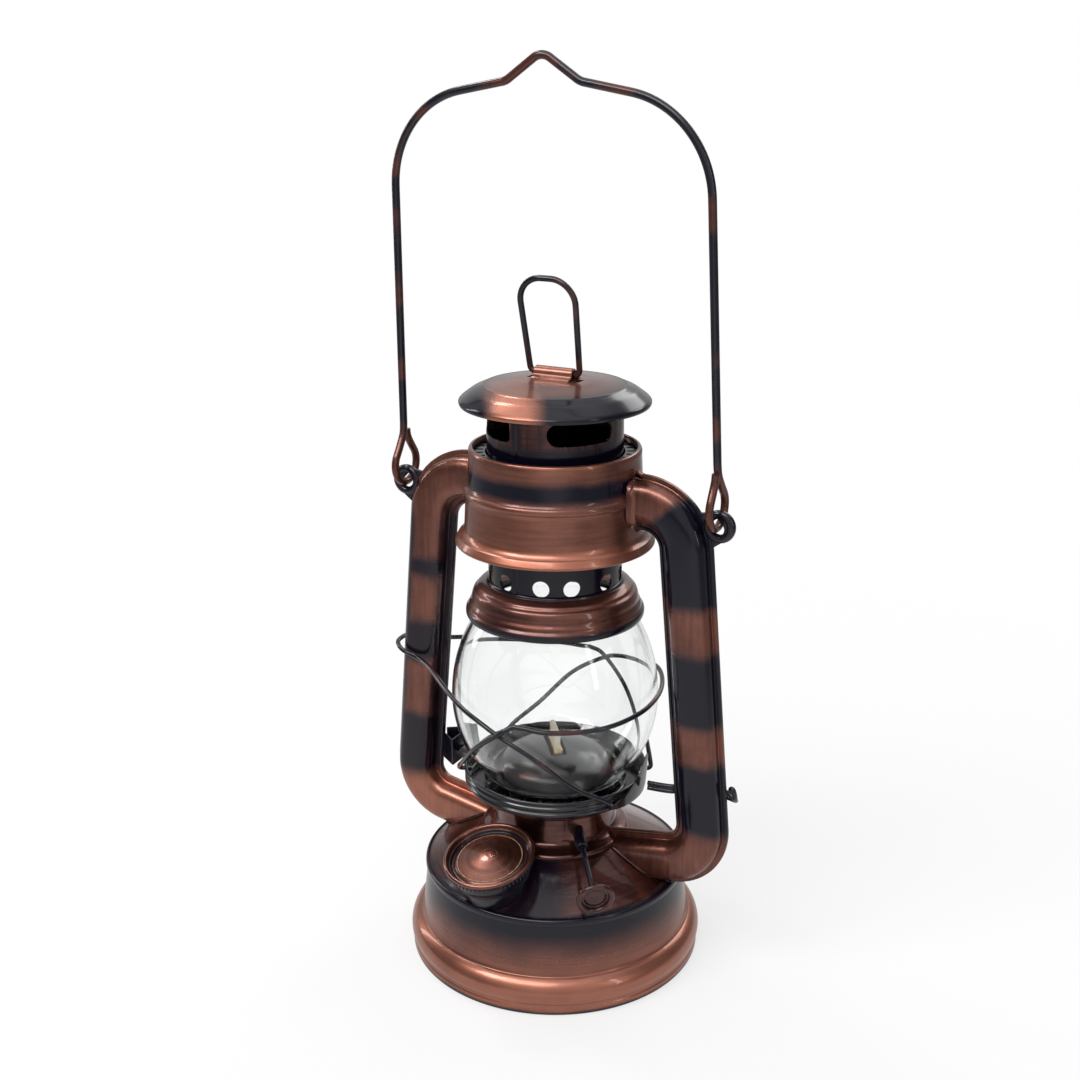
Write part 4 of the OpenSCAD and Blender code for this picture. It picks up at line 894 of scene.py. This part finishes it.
def slotTool():
    look = chimneyLook
    half, high = math.radians(look["slotSweep"] / 2) * look["radius"], look["slotH"] / 2
    ring = [(half - high + high * math.cos(a), high * math.sin(a)) for a in [math.radians(-90 + 18 * k) for k in range(11)]]
    ring += [((half - high) * (1 - k / 10) - (half - high) * k / 10, high) for k in range(1, 10)]
    ring += [(-half + high + high * math.cos(a), high * math.sin(a)) for a in [math.radians(90 + 18 * k) for k in range(11)]]
    ring += [(-(half - high) * (1 - k / 10) + (half - high) * k / 10, -high) for k in range(1, 10)]
    rings = []
    for r in (16.5, 19.5):
        rings.append([(r * math.cos(u / look["radius"]), r * math.sin(u / look["radius"]), look["slotZ"] + v) for u, v in ring])
    centres = [(16.5, 0, look["slotZ"]), (19.5, 0, look["slotZ"])]
    count = len(ring)
    points = rings[0] + rings[1] + centres
    faces = []
    for i in range(count):
        n = (i + 1) % count
        faces += [(i, n, count + n, count + i), (i, 2 * count, n), (count + i, count + n, 2 * count + 1)]
    tool = makeObject("slotTool", points, faces)
    cleanMesh(tool)
    return tool


def holeTool(name, radius, start, end, z, steps=28):
    rings = [[(x, radius * math.cos(2 * math.pi * k / steps), z + radius * math.sin(2 * math.pi * k / steps)) for k in range(steps)]
             for x in (start, end)]
    tool = loft(name, rings)
    cleanMesh(tool)
    return tool


def makeChimney():
    look = chimneyLook
    r, t = look["radius"], look["sheet"]
    tube = spinLoop("chimneyTube", [Vector(p) for p in ((r, 109.6), (r, 115.8), (r, 149.0), (r, 161.9), (r - t, 161.9), (r - t, 149.0), (r - t, 115.8), (r - t, 109.6))], 160)
    cleanMesh(tube)
    tool = slotTool()
    workRound(tube, "cut", tool, 4, look["slotFirst"], 90.0, "chimney")
    dropTool(tool)
    tool = holeTool("draughtTool", look["hole"] / 2, 16.0, 20.0, look["holeZ"])
    for side in (-0.5, 0.5):
        workRound(tube, "cut", tool, 6, look["holeFirst"] + side * look["holePair"], 60.0, "chimney")
    dropTool(tool)
    a0, a1 = [math.radians(look["seamAt"] + s) for s in (-3.6, 3.6)]
    rings = []
    for z in (109.9, 110.2, 161.6, 161.8):
        lift = 0.02 if z in (109.9, 161.8) else 0.24
        turns = [a0 + (a1 - a0) * k / 8 for k in range(9)]
        rings.append([((r + (lift if 0 < k < 8 else 0.02)) * math.cos(a), (r + (lift if 0 < k < 8 else 0.02)) * math.sin(a), z) for k, a in enumerate(turns)]
                     + [((r - 0.1) * math.cos(a), (r - 0.1) * math.sin(a), z) for a in turns[::-1]])
    joinPieces(tube, loft("chimneySeam", rings))
    settle(tube, "chimney", "copper_dark", "chimney", "chimney_tube", sharp=30)
    bell = [(23.9, 99.8), (24.2, 100.5), (24.15, 101.7), (23.4, 102.5), (23.25, 103.3), (22.6, 104.3), (22.55, 105.3), (22.0, 106.9),
            (21.1, 107.6), (20.7, 108.3), (19.5, 109.1), (18.6, 109.45), (18.5, 109.9), (18.15, 110.3)]
    settle(spinSheet("chimneyBell", bell, 0.5, 0.7), "chimney", "copper", "bell", "chimney_bell")
    cap = [(24.9, 157.5), (25.1, 157.9), (25.15, 158.5), (24.6, 159.15), (21.7, 161.3), (19.1, 162.35), (18.7, 162.6), (18.3, 162.55), (9.5, 163.85), (1, 164.2), (0, 164.2)]
    lid = spinSheet("chimneyCap", cap, 0.5, 0.8, 192)
    cleanMesh(lid)
    tool = boxTool("slitTool", (5.5, -1.6, 162), (7.6, 1.6, 166))
    workRound(lid, "cut", tool, 2, 0.0, 180.0, "cap")
    dropTool(tool)
    half = [(-4.3, 163.98), (-3.3, 164.2), (-2.75, 164.62), (-2.25, 164.66), (-1.78, 165.0)]
    arch = softLine(half + arcLine(0, 165.4, 1.66, 168.0, 90.0, 8), 0.25, 3)
    top = arch + [Vector((-p.x, p.y)) for p in arch[-2::-1]]
    low = shiftLine(top, -0.42)
    ring = top + low[::-1]
    rings = [[(x, p.x * s, (p.y - 164.4) * s + 164.4) for p in ring] for x, s in ((-5.5, 0.93), (-5.35, 1.0), (-1.8, 1.0), (1.8, 1.0), (5.35, 1.0), (5.5, 0.93))]
    joinPieces(lid, loft("ringBridge", rings))
    settle(lid, "chimney", "copper_dark", "cap", "chimney_cap", sharp=34)


makeChimney()
print("lantern: hood and chimney made")


# ---- globe, plate and burner

globeLook = {"radius": 28.5, "mid": 76.0, "upper": 43.0, "lower": 33.0, "glass": 1.2, "foot": 49.9, "top": 101.4}
plateLook = {"radius": 25.3, "z": 49.4, "holes": 24, "hole": 0.75, "hookAngles": (-28.0, -152.0, 152.0, 28.0)}


# a thin leaf that hugs the plate's wall and rises to a tip; one lower and one upper height for each azimuth
finLook = {"r": 25.5, "flare": 0.10, "sheet": 0.45, "edge": [
    (-27.0, 50.6, 51.6), (-22.0, 50.2, 52.6), (-16.0, 49.9, 53.6), (-10.0, 49.8, 54.9), (-5.0, 49.8, 56.6), (-1.0, 49.8, 58.6),
    (3.0, 49.8, 60.6), (6.5, 49.8, 61.7), (9.0, 50.0, 61.2), (10.4, 50.4, 58.0), (11.0, 51.2, 54.0)]}


def leafFin():
    look = finLook
    rings = []
    for az, low, high in look["edge"]:
        ring = []
        for out in (look["sheet"], 0.0):
            rows = [low + (high - low) * k / 8 for k in range(9)]
            trim = [0.12 if k in (0, 8) else 0.0 for k in range(9)]
            line = [(look["r"] + look["flare"] * (z - 50) + abs(out - cut), z) for z, cut in zip(rows, trim)]
            ring += line if out else line[::-1]
        a = math.radians(az)
        rings.append([Vector((r * math.cos(a), r * math.sin(a), z)) for r, z in ring])
    return loft("stopFin", rings)


def makeGlobe():
    look = globeLook
    r, mid = look["radius"], look["mid"]
    low = math.degrees(math.asin((mid - look["foot"] - 4.4) / look["lower"]))
    high = math.degrees(math.asin((look["top"] - mid - 1.2) / look["upper"]))
    line = [(20.06, look["foot"] + 0.02), (20.06, 52.3)] + arcLine(r - look["lower"], mid, look["lower"], -low, 0.0, 24) + \
        arcLine(r - look["upper"], mid, look["upper"], high / 20, high, 19) + [(20.7, look["top"])]
    settle(spinSheet("globe", line, look["glass"], 0.5, 176), "globe_carriage", "glass", "glass", "globe", sharp=70)
    plate = [(18.6, 53.35), (17.9, 53.65), (17.35, 53.5), (17.3, 52.9), (17.6, 49.4), (23.9, 49.4), (24.6, 49.65), (24.9, 50.2), (25.35, 50.6), (25.35, 51.15), (24.85, 51.55),
             (24.85, 51.95), (25.4, 52.35), (25.4, 52.95), (24.95, 53.35), (24.95, 53.8)] + arcLine(25.1, 54.4, 0.45, -70.0, 140.0, 8)
    dish = spinSheet("globePlate", plate, 0.42, 0.4, 192)
    cleanMesh(dish)
    tool = holeTool("plateTool", plateLook["hole"], 15.5, 19.5, 51.7, 16)
    workRound(dish, "cut", tool, plateLook["holes"], 0.0, 360.0 / plateLook["holes"], "plate")
    dropTool(tool)
    stud = spinLoop("plateStud", [Vector(p) for p in ((0, 0.5), (0.25, 0.42), (0.45, 0.22), (0.52, -0.1), (0, -0.1))], 14, Matrix.Translation((18.0, 0, 53.62)))
    cleanMesh(stud)
    workRound(dish, "add", stud, plateLook["holes"], 6.5, 360.0 / plateLook["holes"], "plate")
    dropTool(stud)
    tool = holeTool("hookTool", 0.8, 23.4, 27.5, 52.6, 16)
    for first in plateLook["hookAngles"][:2]:
        workRound(dish, "cut", tool, 2, first, 180.0, "plate")
    dropTool(tool)
    settle(dish, "globe_carriage", "copper_dark", "plate", "globe_plate", sharp=34)
    settle(easedCopy("guideLug", "guide_lug", 0.12), "globe_carriage", "black_lacquer", "black", "guide_lug")
    settle(leafFin(), "globe_carriage", "black_lacquer", "plate", "stop_fin")


def makeBurner():
    dome = [(15.6, 50.4), (15.7, 51.6), (16.3, 52.2), (16.5, 53.0), (16.2, 53.9)] + [
        (15.8 * math.cos(math.radians(a)), 54.2 + 5.8 * math.sin(math.radians(a))) for a in range(12, 84, 6)] + [(1.2, 60.0), (0, 60.0)]
    shell = spinSheet("burnerDome", dome, 0.4, 0.5, 144)
    cleanMesh(shell)
    tool = boxTool("flameTool", (-6.2, -2.3, 54.4), (6.2, 2.3, 66.0))
    workRound(shell, "cut", tool, 1, -51.8, 0.0, "plate")
    dropTool(tool)
    settle(shell, "lamp_frame", "copper_dark", "dome", "burner_dome")
    settle(easedCopy("burnerBase", "burner_base", 0.12), "lamp_frame", "brass", "brass", "burner_base")
    settle(easedCopy("wickTube", "wick_tube", 0.06), "lamp_frame", "brass", "brass", "wick_tube")
    settle(easedCopy("shaftSleeve", "shaft_sleeve", 0.15), "lamp_frame", "black_lacquer", "black", "shaft_sleeve")
    tape = easedCopy("wick", "wick", 0.25, 3)
    for v in tape.data.vertices:    # its top stands as high as in the photo
        if v.co.z > 60.5 * mm:
            v.co.z += 3.2 * mm
    settle(tape, "wick", "cotton", "cotton", "wick")
    settle(easedCopy("winderShaft", "winder_shaft", 0.08), "wick_winder", "steel", "black", "winder_shaft")
    settle(easedCopy("spurWheels", "spur_wheels", 0.0), "wick_winder", "steel", "steel", "spur_wheels")


makeGlobe()
makeBurner()


# ---- wick knob, in the shaft's frame

knobLook = {"az": -51.8, "dip": 15.0, "side": 3.28, "z": 45.9, "reach": 43.4, "radius": 5.1, "thick": 2.6, "ribs": 26}


def makeKnob():
    look = knobLook
    a = math.radians(look["az"])
    place = (Matrix.Translation((-math.sin(a) * look["side"], math.cos(a) * look["side"], look["z"]))
             @ Matrix.Rotation(a, 4, "Z") @ Matrix.Rotation(math.radians(90 + look["dip"]), 4, "Y")
             @ Matrix.Translation((0, 0, look["reach"] - look["thick"])))
    loop = [(0, 0), (2.2, 0.0), (3.7, 0.1), (4.5, 0.5)] + arcLine(4.35, 1.55, 0.75, -50.0, 190.0, 14) + \
        [(3.5, 1.05), (3.1, 0.98), (2.75, 1.12), (2.4, 1.3), (1.9, 1.32), (1.2, 1.3), (0, 1.3)]
    knob = spinLoop("wickKnob", softLine(loop, 0.12, 2), 96)
    rib = spinLoop("knobRib", [Vector(p) for p in ((0, -0.55), (0.16, -0.5), (0.2, 0), (0.16, 0.5), (0, 0.55))], 8, Matrix.Translation((4.90, 0, 1.5)))
    cleanMesh(rib)
    workRound(knob, "add", rib, look["ribs"], 0.0, 360.0 / look["ribs"], "knob")
    dropTool(rib)
    knob.data.transform(Matrix.Scale(mm, 4) @ place @ Matrix.Scale(1 / mm, 4))
    settle(knob, "wick_winder", "copper_dark", "knob", "wick_knob")


makeKnob()
print("lantern: globe, burner and winder made")


# ---- wires

wireLook = {"guard": 0.65, "bail": 1.05, "ring": 0.8, "runZ": 78.4, "hookZ": 52.6, "guardR": 29.65, "plateR": 25.3,
            "bailTop": 243.398, "bailShift": 0.6, "bailLean": 3.0, "hingeZ": 135.4, "eyeX": 46.5, "eyeR": 5.2, "neckZ": 144.0,
            "ringZ": 165.4, "ringLean": 12.0, "ringH": 25.4}


def polar(a, r, z):
    return Vector((r * math.cos(math.radians(a)), r * math.sin(math.radians(a)), z))


def smoothRoute(points, steps=8):
    points = [Vector(p) for p in points]
    out = []
    for i in range(len(points) - 1):
        a, b, c, d = points[max(i - 1, 0)], points[i], points[i + 1], points[min(i + 2, len(points) - 1)]
        for k in range(steps):
            t = k / steps
            out.append(0.5 * (2 * b + (c - a) * t + (2 * a - 5 * b + 4 * c - d) * t * t + (3 * b - a - 3 * c + d) * t ** 3))
    return out + [points[-1]]


# steps of straight length, bend and radius; heading and bends in degrees, clockwise
def bentRoute(start, heading, steps, fine=3.0):
    p, a, out = Vector(start), math.radians(heading), [Vector(start)]
    for run, bend, radius in steps:
        if run:
            p = p + Vector((math.cos(a), math.sin(a))) * run
            out.append(p.copy())
        if bend:
            side = 1 if bend > 0 else -1
            count = max(4, int(abs(bend) / fine))
            centre = p + Vector((math.sin(a), -math.cos(a))) * radius * side
            for k in range(1, count + 1):
                turned = a - math.radians(bend) * k / count
                out.append(centre - Vector((math.sin(turned), -math.cos(turned))) * radius * side)
            a -= math.radians(bend)
            p = out[-1].copy()
    return out


def makeGuards():
    look = wireLook
    g, p, h, run = look["guardR"], look["plateR"], look["hookZ"], look["runZ"]
    right = [polar(-152, p - 1.4, h), polar(-152, p + 1.2, h), polar(-148, p + 1.6, h + 1.6), polar(-128, g - 2, 60), polar(-108, g - 0.1, 68.6),
             polar(-91, g + 1.4, 75.6), polar(-84.5, g + 0.2, 78), polar(-79, g, 78.2), polar(-64, g, 77.4), polar(-38, g, 77.4), polar(-12, g, run),
             polar(12, g, run + 1.4), polar(38, g, run + 1.8), polar(60, g, run + 0.6), polar(78, g + 0.2, run - 1), polar(89, g - 0.1, 75.4),
             polar(108, g - 0.4, 69.4), polar(128, g - 2, 60.4), polar(146, p + 1.8, h + 2.4), polar(152, p + 1.2, h), polar(152, p - 1.4, h)]
    lx, out, ly, lz = 41.8514, 50.4309, 6.35, 80.6
    left = [polar(28, p - 1.4, h), polar(28, p + 1.2, h), polar(32, p + 1.6, h + 1.6), polar(52, g - 2, 60), polar(72, g - 0.1, 68.6),
            polar(89, g + 1.6, 75.6), polar(95.5, g + 0.2, 78), polar(101, g, 78.2), polar(118, g, 79), polar(140, g + 0.6, 80.4),
            (-lx + 8, ly + 6, lz + 0.8), (-lx + 1, ly + 0.6, lz + 1.4), (-lx - 4.6, ly - 0.6, lz + 1.8), (-out + 0.6, 3, lz + 2), (-out, 0, lz + 2),
            (-out + 0.6, -3, lz + 1.6), (-lx - 4.6, -ly + 0.6, lz + 0.9), (-lx + 1, -ly - 0.6, lz), (-lx + 8, -ly - 5, lz),
            polar(-138, g + 0.8, 79.6), polar(-119, g, 78.4), polar(-102, g, 76.6), polar(-89.6, g - 0.1, 74), polar(-72, g - 0.4, 69.2),
            polar(-52, g - 2, 60.4), polar(-34, p + 1.8, h + 2.4), polar(-28, p + 1.2, h), polar(-28, p - 1.4, h)]
    for name, node, points in (("guardRight", "guard_wire_right", right), ("guardLeft", "guard_wire_left", left)):
        settle(bendWire(name, smoothRoute(points), look["guard"]), "globe_carriage", "black_wire", "wire", node)
    fin, levIn, levX, levOut, z, y = 26.9 + 0.65, 36.8936, 44.409, 52.9885, 52.0, 6.35
    low = [(fin, 2.4, z), (levIn - 2.4, 3.6, z), (levIn + 0.6, y + 0.4, z), (levX - 1, y + 1.2, z + 0.2), (levX + 4.6, y, z + 0.6)]
    loop = [(levOut - 0.5, 4.0, z + 1.5), (levOut + 0.35, 1.7, z + 3.2), (levOut + 0.5, 0.6, z + 5.2), (levOut + 0.1, 0.3, z + 6.6),
            (levOut - 0.7, 0.9, z + 6.3), (levOut - 0.9, 1.9, z + 4.8), (levOut - 1.3, 3.8, z + 3.2)]
    route = low + loop + [(x, v, w + 1.45) for x, v, w in low[::-1]]
    settle(bendWire("liftLever", smoothRoute(route), look["guard"]), "globe_carriage", "black_wire", "wire", "lift_lever")


def makeBail():
    look = wireLook
    half = bentRoute((0, look["bailTop"]), 0, [(0, 34, 4), (8.5, -24, 5), (12.486, 78, 25), (64.2, 0, 1)])
    arm = [Vector((p.x, 0, p.y)) for p in half]
    away = math.degrees(math.acos(look["eyeR"] / (look["neckZ"] - look["hingeZ"])))

    def eye(side):   # the wire's end, turned round in a loop, with its tip against the arm
        x = look["eyeX"]
        ring = [Vector((x, side * look["eyeR"] * math.sin(math.radians(a)), look["hingeZ"] + look["eyeR"] * math.cos(math.radians(a))))
                for a in [away + 4 + (352 - 2 * away) * k / 44 for k in range(45)]]
        lead = [Vector((x, side * 0.35, look["neckZ"] + 0.2)), Vector((x, side * 2.3, look["neckZ"] - 3.0))]
        tip = [Vector((x, -side * 2.4, look["neckZ"] - 2.6)), Vector((x + 0.1, -side * 1.75, look["neckZ"] - 0.8)), Vector((x + 0.2, -side * 1.7, look["neckZ"] + 0.9))]
        return smoothRoute(arm[-1:] + lead + ring[:1], 5) + ring[1:-1] + smoothRoute(ring[-1:] + tip, 5)
    right = arm[:-1] + eye(1)
    left = [Vector((-p.x, p.y, p.z)) for p in arm[:-1] + eye(-1)]
    lean = Matrix.Translation((0, 0, look["hingeZ"])) @ Matrix.Rotation(math.radians(look["bailLean"]), 4, "X") @ Matrix.Translation((-look["bailShift"], 0, -look["hingeZ"]))
    route = [lean @ p for p in left[:0:-1] + right]
    settle(bendWire("bail", route, look["bail"], "bailWire", sides=24), "bail", "black_wire", "bailWire", "bail", sharp=60)
    side = bentRoute((0, look["ringH"]), 0, [(1.36475, 92.2, 6.5), (17.2208, 87.8, 1.5), (5.7, 0, 1)])[:-1]
    full = side + [Vector((-p.x, p.y)) for p in side[:0:-1]]
    lean = Matrix.Translation((0, 0, look["ringZ"])) @ Matrix.Rotation(math.radians(look["ringLean"]), 4, "X")
    settle(bendWire("liftingRing", [lean @ Vector((p.x, 0, p.y)) for p in full], look["ring"], finish="bailWire", closed=True), "lifting_ring", "black_wire", "bailWire", "lifting_ring", sharp=60)


makeGuards()
makeBail()
print("lantern: wires bent")
